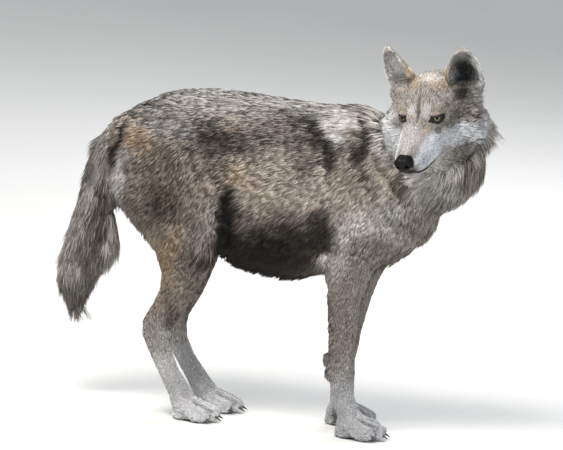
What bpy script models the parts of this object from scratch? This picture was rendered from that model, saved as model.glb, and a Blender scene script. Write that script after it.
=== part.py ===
"""A life-size timber wolf, standing on all four paws with its head turned to its right.

Frame: metres, +X towards the chest, +Y the animal's left, +Z up, the floor at Z = 0.
The flesh is modelled whole, out to the tips of the coat, from lofted sections and rounded masses.
It is then parted by thin cuts into the pieces that a person would name.
"""

import math

import bmesh
import bpy
import numpy as np
from mathutils import Euler, Matrix, Vector

GAP = 0.0003  # clearance between neighbouring pieces
VOXEL = 0.0055  # grid of the union of all the masses
FLESH_TRIANGLES = 2620
CREASE_PASSES = 56
HEAD_DETAIL, PAW_DETAIL = 0.005, 0.0  # from 0, simplified as much as it can be, towards 1, left as it is
RING_POINTS = 28

# The head's own frame: +X towards the nose, +Y its left, +Z its crown, origin midway between the eyes.
HEAD_ORIGIN = Vector((0.320, -0.144, 0.711))
HEAD_HEADING, HEAD_DROP, HEAD_TILT = (math.radians(a) for a in (-99.3, 29.3, 7.6))

COAT_GREY = (0.27, 0.23, 0.19)
COAT_PALE = (0.52, 0.48, 0.42)
HORN_DARK = (0.02, 0.018, 0.017)
EYE_AMBER = (0.33, 0.25, 0.09)

# x, top of the back, underside, half width, share of the height where it is widest
TRUNK = (
    (-0.375, 0.588, 0.500, 0.030, 0.60),
    (-0.350, 0.620, 0.450, 0.062, 0.60),
    (-0.300, 0.657, 0.420, 0.088, 0.60),
    (-0.225, 0.692, 0.405, 0.094, 0.58),
    (-0.140, 0.704, 0.385, 0.095, 0.55),
    (-0.060, 0.704, 0.353, 0.106, 0.50),
    (0.020, 0.699, 0.338, 0.113, 0.47),
    (0.095, 0.696, 0.335, 0.117, 0.46),
    (0.165, 0.697, 0.343, 0.112, 0.48),
    (0.230, 0.694, 0.365, 0.102, 0.50),
    (0.290, 0.668, 0.398, 0.086, 0.50),
    (0.335, 0.625, 0.432, 0.064, 0.50),
    (0.360, 0.580, 0.470, 0.030, 0.50),
)

# x, y, z of the middle, half depth fore and aft, half width, pitch of the section in degrees
NECK = (
    (0.150, 0.000, 0.560, 0.110, 0.090, 62),
    (0.220, 0.000, 0.572, 0.128, 0.098, 52),
    (0.285, -0.002, 0.592, 0.136, 0.104, 42),
    (0.330, -0.008, 0.624, 0.128, 0.108, 30),
    (0.345, -0.020, 0.664, 0.112, 0.106, 20),
    (0.344, -0.040, 0.700, 0.094, 0.098, 12),
    (0.340, -0.058, 0.730, 0.070, 0.082, 8),
)

# head frame: x, crown, underside, half width, share of the height where it is widest, squareness
HEAD = (
    (-0.165, 0.008, -0.112, 0.064, 0.50, 2.0),
    (-0.140, 0.026, -0.122, 0.078, 0.48, 2.0),
    (-0.108, 0.038, -0.124, 0.084, 0.46, 2.1),
    (-0.072, 0.041, -0.118, 0.079, 0.46, 2.1),
    (-0.040, 0.036, -0.107, 0.068, 0.46, 2.2),
    (-0.014, 0.025, -0.098, 0.056, 0.48, 2.2),
    (0.010, 0.010, -0.092, 0.047, 0.42, 2.3),
    (0.035, 0.003, -0.088, 0.043, 0.38, 2.3),
    (0.062, -0.002, -0.084, 0.039, 0.36, 2.3),
    (0.088, -0.007, -0.079, 0.035, 0.36, 2.3),
    (0.106, -0.013, -0.070, 0.029, 0.40, 2.2),
    (0.118, -0.021, -0.058, 0.016, 0.50, 2.1),
)

# What of the flesh is the head's own. Head frame: x, half width, height above and depth below the eyes
HEAD_REGION = (
    (-0.146, 0.126, 0.110, 0.136),
    (-0.060, 0.124, 0.110, 0.130),
    (0.000, 0.086, 0.090, 0.114),
    (0.150, 0.055, 0.060, 0.100),
)
HEAD_REGION_SLANT = -0.30

# z, back edge, front edge, half width, distance of the middle from the midline
FORELEG = (
    (0.660, 0.150, 0.225, 0.022, 0.062),
    (0.600, 0.130, 0.275, 0.034, 0.072),
    (0.520, 0.120, 0.312, 0.040, 0.076),
    (0.450, 0.122, 0.298, 0.042, 0.076),
    (0.400, 0.126, 0.268, 0.040, 0.074),
    (0.372, 0.131, 0.244, 0.037, 0.073),
    (0.335, 0.141, 0.225, 0.032, 0.071),
    (0.290, 0.146, 0.213, 0.029, 0.069),
    (0.220, 0.151, 0.208, 0.026, 0.067),
    (0.165, 0.154, 0.208, 0.026, 0.066),
    (0.130, 0.158, 0.209, 0.025, 0.066),
    (0.090, 0.166, 0.212, 0.024, 0.066),
    (0.060, 0.172, 0.224, 0.027, 0.066),
    (0.032, 0.180, 0.240, 0.030, 0.066),
)
HINDLEG = (
    (0.620, -0.330, -0.200, 0.030, 0.058),
    (0.570, -0.352, -0.160, 0.042, 0.062),
    (0.510, -0.342, -0.118, 0.047, 0.066),
    (0.455, -0.322, -0.098, 0.048, 0.069),
    (0.410, -0.284, -0.093, 0.045, 0.071),
    (0.370, -0.245, -0.098, 0.041, 0.072),
    (0.325, -0.222, -0.116, 0.036, 0.072),
    (0.285, -0.218, -0.134, 0.031, 0.072),
    (0.250, -0.228, -0.150, 0.027, 0.072),
    (0.218, -0.244, -0.168, 0.024, 0.071),
    (0.192, -0.252, -0.182, 0.022, 0.070),
    (0.160, -0.243, -0.185, 0.022, 0.069),
    (0.120, -0.222, -0.172, 0.022, 0.068),
    (0.080, -0.200, -0.146, 0.024, 0.067),
    (0.045, -0.182, -0.120, 0.028, 0.066),
    (0.026, -0.176, -0.105, 0.030, 0.066),
)
TAIL = (
    (0.606, -0.362, -0.318, 0.020, 0.0),
    (0.580, -0.388, -0.325, 0.030, 0.0),
    (0.545, -0.404, -0.345, 0.034, 0.002),
    (0.490, -0.417, -0.353, 0.036, 0.006),
    (0.430, -0.428, -0.341, 0.040, 0.010),
    (0.370, -0.443, -0.331, 0.045, 0.014),
    (0.330, -0.454, -0.332, 0.046, 0.016),
    (0.280, -0.459, -0.363, 0.040, 0.018),
    (0.240, -0.450, -0.383, 0.029, 0.019),
    (0.205, -0.432, -0.398, 0.014, 0.020),
)

# How far each leg stands from the pattern above: shift of the paw forwards, and of the whole top
LEGS = {
    "foreleg_right": {"side": -1, "paw_shift": 0.006, "top_shift": 0.0},
    "foreleg_left": {"side": 1, "paw_shift": -0.040, "top_shift": 0.014},
    "hindleg_right": {"side": -1, "paw_shift": 0.0, "top_shift": 0.0},
    "hindleg_left": {"side": 1, "paw_shift": 0.026, "top_shift": -0.018},
}
PAW_X = {"foreleg": 0.222, "hindleg": -0.128}
PAW_SIZE = {"foreleg": 1.06, "hindleg": 0.98}
PAW_OUT = 0.066
# forward, outward and up from the paw's middle; then half length, half width, half height
TOES = ((0.016, -0.030, 0.017), (0.036, -0.0112, 0.019), (0.037, 0.0112, 0.019), (0.018, 0.030, 0.017))
TOE_SIZE = (0.0235, 0.0128, 0.0200)
CLAW_LENGTH, CLAW_RADIUS = 0.0170, 0.0042

EYE_RADIUS = 0.0118
EYE_PLACE = (-0.0060, 0.0370, -0.0010)
NOSE_PLACE = (0.1165, 0.0, -0.0310)
NOSE_SIZE = (0.0150, 0.0210, 0.0165)
EAR_BASE = (-0.104, 0.065, 0.004)
EAR_LEAN = (4, 22, 10)  # degrees that it tips back, opens outwards and leans outwards
EAR_WALL = 0.0045
EAR_RING = 14
# height, half width, half depth, outward shift of the middle
EAR_LEAF = (
    (-0.014, 0.036, 0.020, 0.000),
    (0.010, 0.0415, 0.021, 0.001),
    (0.034, 0.0410, 0.018, 0.002),
    (0.060, 0.0345, 0.014, 0.002),
    (0.082, 0.0245, 0.010, 0.002),
    (0.097, 0.0150, 0.007, 0.001),
    (0.104, 0.0060, 0.004, 0.000),
)


def clear_scene():
    """Removes what the file opened with."""
    for thing in list(bpy.data.objects):
        bpy.data.objects.remove(thing)


def collection(name, shown=True):
    """A new collection under the scene's own."""
    made = bpy.data.collections.new(name)
    made.hide_render = not shown
    bpy.context.scene.collection.children.link(made)
    return made


def finish_material(name, colour, roughness):
    """A plain Principled finish."""
    made = bpy.data.materials.new(name)
    made.use_nodes = True
    shader = made.node_tree.nodes["Principled BSDF"]
    shader.inputs["Base Color"].default_value = (*colour, 1.0)
    shader.inputs["Roughness"].default_value = roughness
    shader.inputs["Metallic"].default_value = 0.0
    return made


def new_object(name, bm, home):
    """Turns a bmesh into an object of that collection, in triangles that point out."""
    bmesh.ops.triangulate(bm, faces=bm.faces)
    bmesh.ops.recalc_face_normals(bm, faces=bm.faces)
    if bm.calc_volume(signed=True) < 0:
        bmesh.ops.reverse_faces(bm, faces=bm.faces)
    mesh = bpy.data.meshes.new(name)
    bm.to_mesh(mesh)
    bm.free()
    made = bpy.data.objects.new(name, mesh)
    home.objects.link(made)
    return made


def apply_modifiers(thing):
    """Replaces the object's mesh by what its modifiers make of it."""
    bpy.context.view_layer.update()
    graph = bpy.context.evaluated_depsgraph_get()
    mesh = bpy.data.meshes.new_from_object(thing.evaluated_get(graph))
    thing.modifiers.clear()
    thing.data = mesh


def head_matrix():
    """From the head's frame to the body's."""
    turn = Euler((HEAD_TILT, HEAD_DROP, HEAD_HEADING), "XYZ").to_matrix().to_4x4()
    return Matrix.Translation(HEAD_ORIGIN) @ turn


def between(keys, steps):
    """The rows of a table of sections, and those between them on a smooth curve."""
    rows = np.array(keys, float)
    slopes = np.gradient(rows, axis=0)
    found = []
    for i in range(len(rows) - 1):
        for t in np.linspace(0, 1, steps, endpoint=False):
            found.append(
                rows[i] * (1 + 2 * t) * (1 - t) ** 2
                + slopes[i] * t * (1 - t) ** 2
                + rows[i + 1] * t * t * (3 - 2 * t)
                + slopes[i + 1] * t * t * (t - 1)
            )
    return [*found, rows[-1]]


def section(centre, side, up, width, rise, fall, squareness=2.0, count=RING_POINTS):
    """One closed ring of points: an oval whose upper and lower halves may differ in height."""
    points = []
    for k in range(count):
        angle = 2 * math.pi * k / count
        across, along = math.cos(angle), math.sin(angle)
        across = math.copysign(abs(across) ** (2 / squareness), across)
        along = math.copysign(abs(along) ** (2 / squareness), along)
        points.append(centre + side * width * across + up * (rise if along > 0 else fall) * along)
    return points


def loft(bm, rings):
    """Joins rings of points into one closed skin, which it adds to the bmesh."""
    made = [[bm.verts.new(point) for point in ring] for ring in rings]
    count = len(made[0])
    for first, second in zip(made, made[1:]):
        for k in range(count):
            after = (k + 1) % count
            bm.faces.new((first[k], first[after], second[after], second[k]))
    bm.faces.new(made[0])
    bm.faces.new(made[-1])


def add_mass(bm, centre, size, turn=None):
    """A rounded mass: a sphere stretched to its three half sizes."""
    place = Matrix.Translation(centre) @ (turn or Matrix.Identity(4))
    matrix = place @ Matrix.Diagonal((*size, 1.0))
    bmesh.ops.create_icosphere(bm, subdivisions=3, radius=1.0, matrix=matrix)


def add_trunk(bm):
    """The chest, belly and rump."""
    rings = []
    for x, top, bottom, width, share in between(TRUNK, 3):
        middle = bottom + share * (top - bottom)
        centre = Vector((x, 0, middle))
        side, up = Vector((0, 1, 0)), Vector((0, 0, 1))
        rings.append(section(centre, side, up, width, top - middle, middle - bottom, 2.25))
    loft(bm, rings)


def add_neck(bm):
    """The neck with its ruff, which rises and turns to the animal's right."""
    rings = []
    for x, y, z, depth, width, pitch in between(NECK, 4):
        lean = math.radians(pitch)
        up = Vector((-math.cos(lean), 0, math.sin(lean)))
        rings.append(section(Vector((x, y, z)), Vector((0, 1, 0)), up, width, depth, depth))
    loft(bm, rings)


def add_head(bm):
    """The skull, cheeks and muzzle, built in the head's frame."""
    place = head_matrix()
    skull = bmesh.new()
    rings = []
    for x, top, bottom, width, share, squareness in between(HEAD, 4):
        middle = bottom + share * (top - bottom)
        centre = Vector((x, 0, middle))
        side, up = Vector((0, 1, 0)), Vector((0, 0, 1))
        rings.append(section(centre, side, up, width, top - middle, middle - bottom, squareness))
    loft(skull, rings)
    for side in (-1, 1):
        add_mass(skull, (-0.078, side * 0.078, -0.072), (0.046, 0.036, 0.052))  # cheek ruff
        add_mass(skull, (-0.104, side * 0.066, -0.108), (0.052, 0.040, 0.046))  # lower ruff
        add_mass(skull, (-0.030, side * 0.036, 0.014), (0.028, 0.020, 0.013))  # brow
        add_mass(skull, (0.078, side * 0.018, -0.052), (0.036, 0.018, 0.022))  # upper lip
        add_mass(skull, (-0.036, side * 0.050, -0.034), (0.034, 0.016, 0.020))  # cheekbone
        add_mass(skull, (-0.098, side * 0.072, -0.014), (0.032, 0.029, 0.036))  # root of the ear
    add_mass(skull, (0.080, 0, -0.068), (0.030, 0.020, 0.018))  # chin
    add_mass(skull, (0.096, 0, -0.024), (0.022, 0.022, 0.016))  # bridge behind the nose
    add_mass(skull, (-0.120, 0, -0.140), (0.060, 0.065, 0.050))  # throat ruff
    skull.transform(place)
    mesh = bpy.data.meshes.new("skull")
    skull.to_mesh(mesh)
    skull.free()
    bm.from_mesh(mesh)


def add_muscles(bm):
    """The rounded masses of shoulder, haunch and loin that show through the coat."""
    for side in (-1, 1):
        lean = Matrix.Rotation(math.radians(-22), 4, "Y")
        add_mass(bm, (0.175, side * 0.074, 0.540), (0.075, 0.040, 0.115), lean)  # shoulder blade
        add_mass(bm, (0.200, side * 0.074, 0.455), (0.078, 0.036, 0.085))  # point of the shoulder
        lean = Matrix.Rotation(math.radians(12), 4, "Y")
        add_mass(bm, (-0.232, side * 0.062, 0.515), (0.096, 0.052, 0.125), lean)  # haunch
    add_mass(bm, (0.262, -0.068, 0.632), (0.055, 0.044, 0.070))  # the ruff, where it lies on the right shoulder


def leg_shift(z, foot, top):
    """How far a leg is moved forwards at that height."""
    knee = 0.38
    return foot + (top - foot) * min(1.0, z / knee)


def add_leg(bm, name, pattern):
    """One leg from its sections, with the paw's pad mass and four toes."""
    facts = LEGS[name]
    kind, side = name.split("_")[0], facts["side"]
    rings = []
    for z, back, front, width, out in between(pattern, 3):
        shift = leg_shift(z, facts["paw_shift"], facts["top_shift"])
        centre = Vector(((back + front) / 2 + shift, side * out, z))
        half = (front - back) / 2
        rings.append(section(centre, Vector((0, 1, 0)), Vector((1, 0, 0)), width, half, half, 2.1))
    loft(bm, rings)
    size = PAW_SIZE[kind]
    if kind == "foreleg":
        wrist = Vector((0.156 + facts["paw_shift"] * 0.65, side * (PAW_OUT + 0.003), 0.136))
        add_mass(bm, wrist, (0.015, 0.010, 0.019))  # carpal pad
    middle = Vector((PAW_X[kind] + facts["paw_shift"], side * PAW_OUT, 0))
    add_mass(bm, middle + Vector((-0.006, 0, 0.026)) * size, Vector((0.040, 0.033, 0.026)) * size)
    add_mass(bm, middle + Vector((-0.020, 0, 0.010)) * size, Vector((0.028, 0.026, 0.016)) * size)
    for ahead, out, up in TOES:
        toe = middle + Vector((ahead, out, up)) * size
        add_mass(bm, toe, Vector(TOE_SIZE) * size)
        knuckle = middle + Vector((ahead - 0.020, out * 0.88, up + 0.010)) * size
        add_mass(bm, knuckle, Vector((0.024, 0.0125, 0.0165)) * size)


def add_tail(bm):
    """The brush, hanging close behind the thighs."""
    rings = []
    for z, back, front, width, out in between(TAIL, 3):
        centre = Vector(((back + front) / 2, out, z))
        half = (front - back) / 2
        rings.append(section(centre, Vector((0, 1, 0)), Vector((1, 0, 0)), width, half, half))
    loft(bm, rings)


def fill_creases(thing):
    """Rounds the creases where masses meet. It only ever moves a point outwards, so no limb gets thinner."""
    mesh = thing.data
    count = len(mesh.vertices)
    places = np.empty(count * 3, np.float32)
    mesh.vertices.foreach_get("co", places)
    places = places.reshape(-1, 3).astype(float)
    ends = np.empty(len(mesh.edges) * 2, np.int32)
    mesh.edges.foreach_get("vertices", ends)
    one, other = ends.reshape(-1, 2).T
    degree = np.bincount(np.concatenate([one, other]), minlength=count)
    to_head = np.linalg.norm(places - np.array(HEAD_ORIGIN), axis=1)
    strength = np.clip((places[:, 2] - 0.05) / 0.10, 0, 1)  # the clefts between the toes stay
    strength *= np.where(to_head < 0.10, 0.25, 1.0)  # and so does the face
    for _ in range(CREASE_PASSES):
        mesh.vertices.foreach_set("co", places.astype(np.float32).ravel())
        mesh.update()
        normals = np.empty(count * 3, np.float32)
        mesh.vertex_normals.foreach_get("vector", normals)
        normals = normals.reshape(-1, 3)
        total = np.zeros_like(places)
        for axis in range(3):
            total[:, axis] = np.bincount(one, places[other, axis], count)
            total[:, axis] += np.bincount(other, places[one, axis], count)
        pull = total / degree[:, None] - places
        outward = np.maximum(0, (pull * normals).sum(axis=1))
        places += normals * (outward * strength * 0.9)[:, None]
    mesh.vertices.foreach_set("co", places.astype(np.float32).ravel())
    mesh.update()


def weigh_for_detail(thing):
    """A vertex group that lets the trunk be simplified more than the head and paws."""
    group = thing.vertex_groups.new(name="simplify")
    head = HEAD_ORIGIN
    for vertex in thing.data.vertices:
        keep = HEAD_DETAIL if (vertex.co - head).length < 0.14 else PAW_DETAIL if vertex.co.z < 0.08 else 0.0
        group.add([vertex.index], 1.0 - keep, "REPLACE")


def unite(thing):
    """Makes one skin of masses that cross."""
    remesh = thing.modifiers.new("union", "REMESH")
    remesh.mode = "VOXEL"
    remesh.voxel_size = VOXEL
    apply_modifiers(thing)


def make_flesh(home):
    """The whole animal but for its ears, eyes, nose leather and claws, as one closed solid."""
    bm = bmesh.new()
    add_trunk(bm)
    add_muscles(bm)
    add_neck(bm)
    add_head(bm)
    for name in LEGS:
        add_leg(bm, name, FORELEG if name.startswith("fore") else HINDLEG)
    add_tail(bm)
    flesh = new_object("trunk", bm, home)
    unite(flesh)
    fill_creases(flesh)
    unite(flesh)  # where filled creases have met
    weigh_for_detail(flesh)
    simplify = flesh.modifiers.new("simplify", "DECIMATE")
    simplify.ratio = FLESH_TRIANGLES / (2 * len(flesh.data.polygons))
    simplify.vertex_group = "simplify"
    apply_modifiers(flesh)
    flatten_soles(flesh)
    return flesh


def flatten_soles(thing):
    """Cuts the paws off flat at the floor."""
    bm = bmesh.new()
    bm.from_mesh(thing.data)
    bmesh.ops.triangulate(bm, faces=bm.faces)
    geometry = [*bm.verts, *bm.edges, *bm.faces]
    floor = {"plane_co": (0, 0, 0), "plane_no": (0, 0, -1)}
    cut = bmesh.ops.bisect_plane(bm, geom=geometry, dist=1e-5, clear_outer=True, **floor)
    edges = [e for e in cut["geom_cut"] if isinstance(e, bmesh.types.BMEdge)]
    bmesh.ops.holes_fill(bm, edges=edges)
    bmesh.ops.triangulate(bm, faces=bm.faces)
    bm.to_mesh(thing.data)
    bm.free()


def as_cutter(thing):
    """Marks a helper that isn't part of the animal."""
    thing.hide_render = True
    thing.display_type = "WIRE"


def combine(thing, operation, other):
    """A Boolean of two closed meshes, applied."""
    modifier = thing.modifiers.new(operation.lower(), "BOOLEAN")
    modifier.operation = operation
    modifier.object = other
    modifier.use_self = True
    apply_modifiers(thing)
    if not thing.data.polygons:
        raise ValueError(f"{thing.name} is empty after {operation} with {other.name}")


def part_off(flesh, name, region, home, cutters):
    """Takes the flesh inside a region off as its own piece, and leaves a thin gap round it."""
    piece = bpy.data.objects.new(name, flesh.data.copy())
    home.objects.link(piece)
    combine(piece, "INTERSECT", region)
    grown = bpy.data.objects.new(region.name + "_grown", region.data.copy())
    cutters.objects.link(grown)
    as_cutter(grown)
    swell(grown, GAP)
    combine(flesh, "DIFFERENCE", grown)
    bpy.data.objects.remove(grown)
    return piece


def swell(thing, distance):
    """Moves each face of a closed mesh outwards by about that distance."""
    bm = bmesh.new()
    bm.from_mesh(thing.data)
    bm.normal_update()
    moves = [vertex.normal * distance * vertex.calc_shell_factor() for vertex in bm.verts]
    for vertex, move in zip(bm.verts, moves):
        vertex.co += move
    bm.to_mesh(thing.data)
    bm.free()


def make_eye(name, side, home):
    """One eyeball."""
    x, y, z = EYE_PLACE
    centre = head_matrix() @ Vector((x, side * y, z))
    bm = bmesh.new()
    matrix = Matrix.Translation(centre) @ head_matrix().to_3x3().to_4x4()
    bmesh.ops.create_uvsphere(bm, u_segments=12, v_segments=8, radius=EYE_RADIUS, matrix=matrix)
    return new_object(name, bm, home)


def make_nose(home):
    """The nose leather, a rounded block at the muzzle's tip."""
    bm = bmesh.new()
    place = head_matrix() @ Matrix.Translation(NOSE_PLACE)
    bmesh.ops.create_cube(bm, size=1.2, matrix=place @ Matrix.Diagonal((*NOSE_SIZE, 1.0)) @ Matrix.Scale(1.4, 4))
    bmesh.ops.bevel(bm, geom=list(bm.edges), offset=0.0085, segments=2, profile=0.6, affect="EDGES", material=-1)
    return new_object("nose", bm, home)


def make_claw(name, root, pitch, home):
    """One claw: a short curved horn that tapers to a blunt point, and points forwards or, by its pitch, down."""
    rings = []
    turn = Matrix.Rotation(pitch, 3, "Y")
    for share in (0.0, 0.35, 0.7, 1.0):
        ahead = CLAW_LENGTH * share
        drop = 0.0075 * share**1.7
        radius = CLAW_RADIUS * (1 - 0.78 * share**1.3)
        rings.append((Vector((ahead, 0, -drop)), radius))
    bm = bmesh.new()
    made = []
    sides = 6
    for centre, radius in rings:
        angles = [2 * math.pi * k / sides for k in range(sides)]
        ring = [centre + Vector((0, 0.8 * math.cos(a), math.sin(a))) * radius for a in angles]
        made.append([bm.verts.new(root + turn @ point) for point in ring])
    for first, second in zip(made, made[1:]):
        for k in range(sides):
            after = (k + 1) % sides
            bm.faces.new((first[k], first[after], second[after], second[k]))
    bm.faces.new(made[0])
    bm.faces.new(made[-1])
    return new_object(name, bm, home)


def claws_of(name, home):
    """The four claws of one paw, and a dewclaw on a foreleg."""
    facts = LEGS[name]
    kind, side = name.split("_")[0], facts["side"]
    size = PAW_SIZE[kind]
    middle = Vector((PAW_X[kind] + facts["paw_shift"], side * PAW_OUT, 0))
    made = []
    for number, (ahead, out, up) in enumerate(TOES, 1):
        base = middle + Vector((ahead + 0.0130, out, up - 0.0045)) * size
        made.append(make_claw(f"{name}_claw_{number}", base, 0.0, home))
    if kind == "foreleg":
        base = Vector((0.176 + facts["paw_shift"] * 0.75, side * (PAW_OUT - 0.0195), 0.106))
        made.append(make_claw(f"{name}_dewclaw", base, math.radians(62), home))
    return made


def make_ear(name, side, home, cutters):
    """An upright ear: a rounded leaf, hollowed in front, whose opening faces forwards and a little outwards."""
    x, y, z = EAR_BASE
    tip, inward, spread = EAR_LEAN
    lean = Euler((-side * math.radians(spread), math.radians(tip), side * math.radians(inward)), "XYZ")
    place = head_matrix() @ Matrix.Translation((x, side * y, z)) @ lean.to_matrix().to_4x4()
    ahead, across = Vector((1, 0, 0)), Vector((0, 1, 0))
    bm = bmesh.new()
    rows = between(EAR_LEAF, 1)
    loft(bm, [section(Vector((0, side * shift, h)), across, ahead, w, d, d, count=EAR_RING) for h, w, d, shift in rows])
    bm.transform(place)
    ear = new_object(name, bm, home)
    socket = socket_for(ear, cutters)
    bm = bmesh.new()
    rings = []
    for h, w, d, shift in between(EAR_LEAF[1:-1], 1):
        wall = min(EAR_WALL, 0.55 * w)
        rings.append(section(Vector((d, side * shift, h)), across, ahead, w - wall, d * 0.9, 2 * d - wall, count=EAR_RING))
    loft(bm, rings)
    bm.transform(place)
    scoop = new_object(name + "_scoop", bm, cutters)
    as_cutter(scoop)
    combine(ear, "DIFFERENCE", scoop)
    return ear, socket


def socket_for(thing, cutters):
    """The room that a separate piece needs in the flesh: its own shape, and a thin gap round it."""
    grown = bpy.data.objects.new(thing.name + "_socket", thing.data.copy())
    cutters.objects.link(grown)
    as_cutter(grown)
    swell(grown, GAP)
    return grown


def prism(name, outline, low, high, cutters, place=None):
    """A cutter with that outline in X and Z, which runs from one Y to another."""
    bm = bmesh.new()
    near = [bm.verts.new((x, low, z)) for x, z in outline]
    far = [bm.verts.new((x, high, z)) for x, z in outline]
    bm.faces.new(near)
    bm.faces.new(far)
    for k in range(len(outline)):
        after = (k + 1) % len(outline)
        bm.faces.new((near[k], near[after], far[after], far[k]))
    bm.transform(place or Matrix.Identity(4))
    made = new_object(name, bm, cutters)
    as_cutter(made)
    return made


def flesh_regions(cutters):
    """The region of each piece of flesh, in the order in which they are taken. What is left is the trunk."""
    dock = ((-0.600, 0.645), (-0.370, 0.645), (-0.352, 0.590), (-0.356, 0.500), (-0.340, 0.440), (-0.312, 0.380))
    brush = ((-0.312, 0.100), (-0.600, 0.100))
    yield "tail", prism("tail_region", dock + brush, -0.058, 0.070, cutters)
    bm = bmesh.new()
    side, up = Vector((0, 1, 0)), Vector((0, 0, 1))
    loft(bm, [section(Vector((x, 0, 0)), side, up, wide, rise, fall, 3.0) for x, wide, rise, fall in HEAD_REGION])
    slant = Matrix(((1, 0, HEAD_REGION_SLANT, 0), (0, 1, 0, 0), (0, 0, 1, 0), (0, 0, 0, 1)))
    bm.transform(head_matrix() @ slant)
    region = new_object("head_region", bm, cutters)
    as_cutter(region)
    yield "head", region
    collar = ((0.190, 0.740), (0.235, 0.650), (0.330, 0.520), (0.400, 0.380), (0.600, 0.380), (0.600, 0.900), (0.190, 0.900))
    yield "neck", prism("neck_region", collar, -0.4, 0.4, cutters)
    for name, facts in LEGS.items():
        foot, top = facts["paw_shift"], facts["top_shift"]
        if name.startswith("fore"):
            cuts = {
                "paw": ((0.05, -0.1), (0.40, -0.1), (0.40, 0.105), (0.05, 0.115)),
                "forearm": ((0.05, 0.10), (0.40, 0.09), (0.40, 0.360), (0.155, 0.385), (0.125, 0.395), (0.110, 0.360)),
                "upper": ((0.110, 0.37), (0.40, 0.34), (0.335, 0.470), (0.225, 0.540), (0.130, 0.490)),
            }
        else:
            cuts = {
                "paw": ((-0.40, -0.1), (0.05, -0.1), (0.05, 0.150), (-0.40, 0.110)),
                "metatarsus": ((-0.40, 0.09), (0.05, 0.13), (0.05, 0.260), (-0.40, 0.190)),
                "shank": ((-0.40, 0.17), (0.05, 0.25), (0.05, 0.330), (-0.40, 0.400)),
                "thigh": ((-0.40, 0.38), (-0.075, 0.325), (-0.075, 0.430), (-0.130, 0.560), (-0.220, 0.610), (-0.400, 0.560)),
            }
        for part, outline in cuts.items():
            moved = [(x + leg_shift(z, foot, top), z) for x, z in outline]
            inner = 0.030 if part == "upper" else 0.010 if part == "thigh" else 0.001
            low, high = sorted((facts["side"] * inner, facts["side"] * 0.4))
            yield f"{name}_{part}", prism(f"{name}_{part}_region", moved, low, high, cutters)


def main():
    clear_scene()
    wolf = collection("timber_wolf")
    cutters = collection("cutters", shown=False)
    flesh = make_flesh(wolf)
    pieces = {"trunk": flesh}
    for name, region in flesh_regions(cutters):
        pieces[name] = part_off(flesh, name, region, wolf, cutters)
    for side, word in ((-1, "right"), (1, "left")):
        _, socket = make_ear(f"ear_{word}", side, wolf, cutters)
        combine(pieces["head"], "DIFFERENCE", socket)
        eye = make_eye(f"eye_{word}", side, wolf)
        combine(pieces["head"], "DIFFERENCE", socket_for(eye, cutters))
    combine(pieces["head"], "DIFFERENCE", socket_for(make_nose(wolf), cutters))
    for name in LEGS:
        for claw in claws_of(name, wolf):
            combine(pieces[f"{name}_paw"], "DIFFERENCE", socket_for(claw, cutters))
    centre_on_origin(wolf, cutters)
    paint(wolf)


def centre_on_origin(wolf, cutters):
    """Moves the whole model so that the origin is on the floor, midway along its length and width."""
    corners = np.array([vertex.co for thing in wolf.objects for vertex in thing.data.vertices])
    middle = (corners.min(axis=0) + corners.max(axis=0)) / 2
    move = Matrix.Translation((-middle[0], -middle[1], 0))
    for thing in (*wolf.objects, *cutters.objects):
        thing.data.transform(move)


def paint(wolf):
    """Gives each piece its own finish."""
    for thing in wolf.objects:
        colour, roughness = COAT_GREY, 0.9
        if "claw" in thing.name or thing.name == "nose":
            colour, roughness = HORN_DARK, 0.4
        elif thing.name.startswith("eye"):
            colour, roughness = EYE_AMBER, 0.1
        elif "paw" in thing.name or "forearm" in thing.name:
            colour = COAT_PALE
        thing.data.materials.clear()
        thing.data.materials.append(finish_material(thing.name, colour, roughness))


if __name__ == "__main__":
    main()
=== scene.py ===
"""A life-size timber wolf: one closed skin, a coat of solid tufts, eyes, lids, nose leather and claws.

Metres. +X points to the chest, +Y to the animal's left, +Z up, and the floor is Z = 0.
The head has a frame of its own: +X towards the nose, +Y its left, +Z its crown, origin between the eyes.
"""

import logging
import math
from dataclasses import dataclass, field
from enum import Enum

import bmesh
import bpy
import numpy as np
from mathutils import Euler, Matrix, Vector
from mathutils.bvhtree import BVHTree
from mathutils.kdtree import KDTree

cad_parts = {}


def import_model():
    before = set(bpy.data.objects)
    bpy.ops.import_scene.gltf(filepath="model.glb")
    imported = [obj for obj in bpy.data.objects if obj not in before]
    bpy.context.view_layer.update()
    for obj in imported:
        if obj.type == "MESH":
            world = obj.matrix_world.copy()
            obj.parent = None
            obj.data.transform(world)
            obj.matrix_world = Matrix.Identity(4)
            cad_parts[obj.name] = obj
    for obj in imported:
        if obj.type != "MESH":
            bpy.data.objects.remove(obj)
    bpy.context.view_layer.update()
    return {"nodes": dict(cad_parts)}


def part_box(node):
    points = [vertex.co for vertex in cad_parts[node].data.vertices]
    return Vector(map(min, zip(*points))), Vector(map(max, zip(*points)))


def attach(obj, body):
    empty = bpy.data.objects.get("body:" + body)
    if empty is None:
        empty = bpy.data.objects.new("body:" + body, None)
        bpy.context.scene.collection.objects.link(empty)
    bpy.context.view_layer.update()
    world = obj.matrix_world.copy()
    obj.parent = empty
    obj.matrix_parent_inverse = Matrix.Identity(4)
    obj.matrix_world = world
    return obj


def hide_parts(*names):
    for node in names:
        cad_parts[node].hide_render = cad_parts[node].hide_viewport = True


LOG = logging.getLogger("timber_wolf")
BODY = "root"
MM = 0.001
SPINE_Y = 0.0644  # the body's middle plane
UP = np.array([0.0, 0.0, 1.0])
HASH_PRIMES = np.array([73856093, 19349663, 83492791], dtype=np.uint64)
LOW_BITS = np.uint64(0xFFFFFFFF)
FACE_GROWTH = (0.62, 1.0, 2.7)  # how much longer the hair is on the muzzle, the brow and the cheek's ruff
SHOWING = 0.55  # share of a hair's length at which its colour shows


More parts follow.
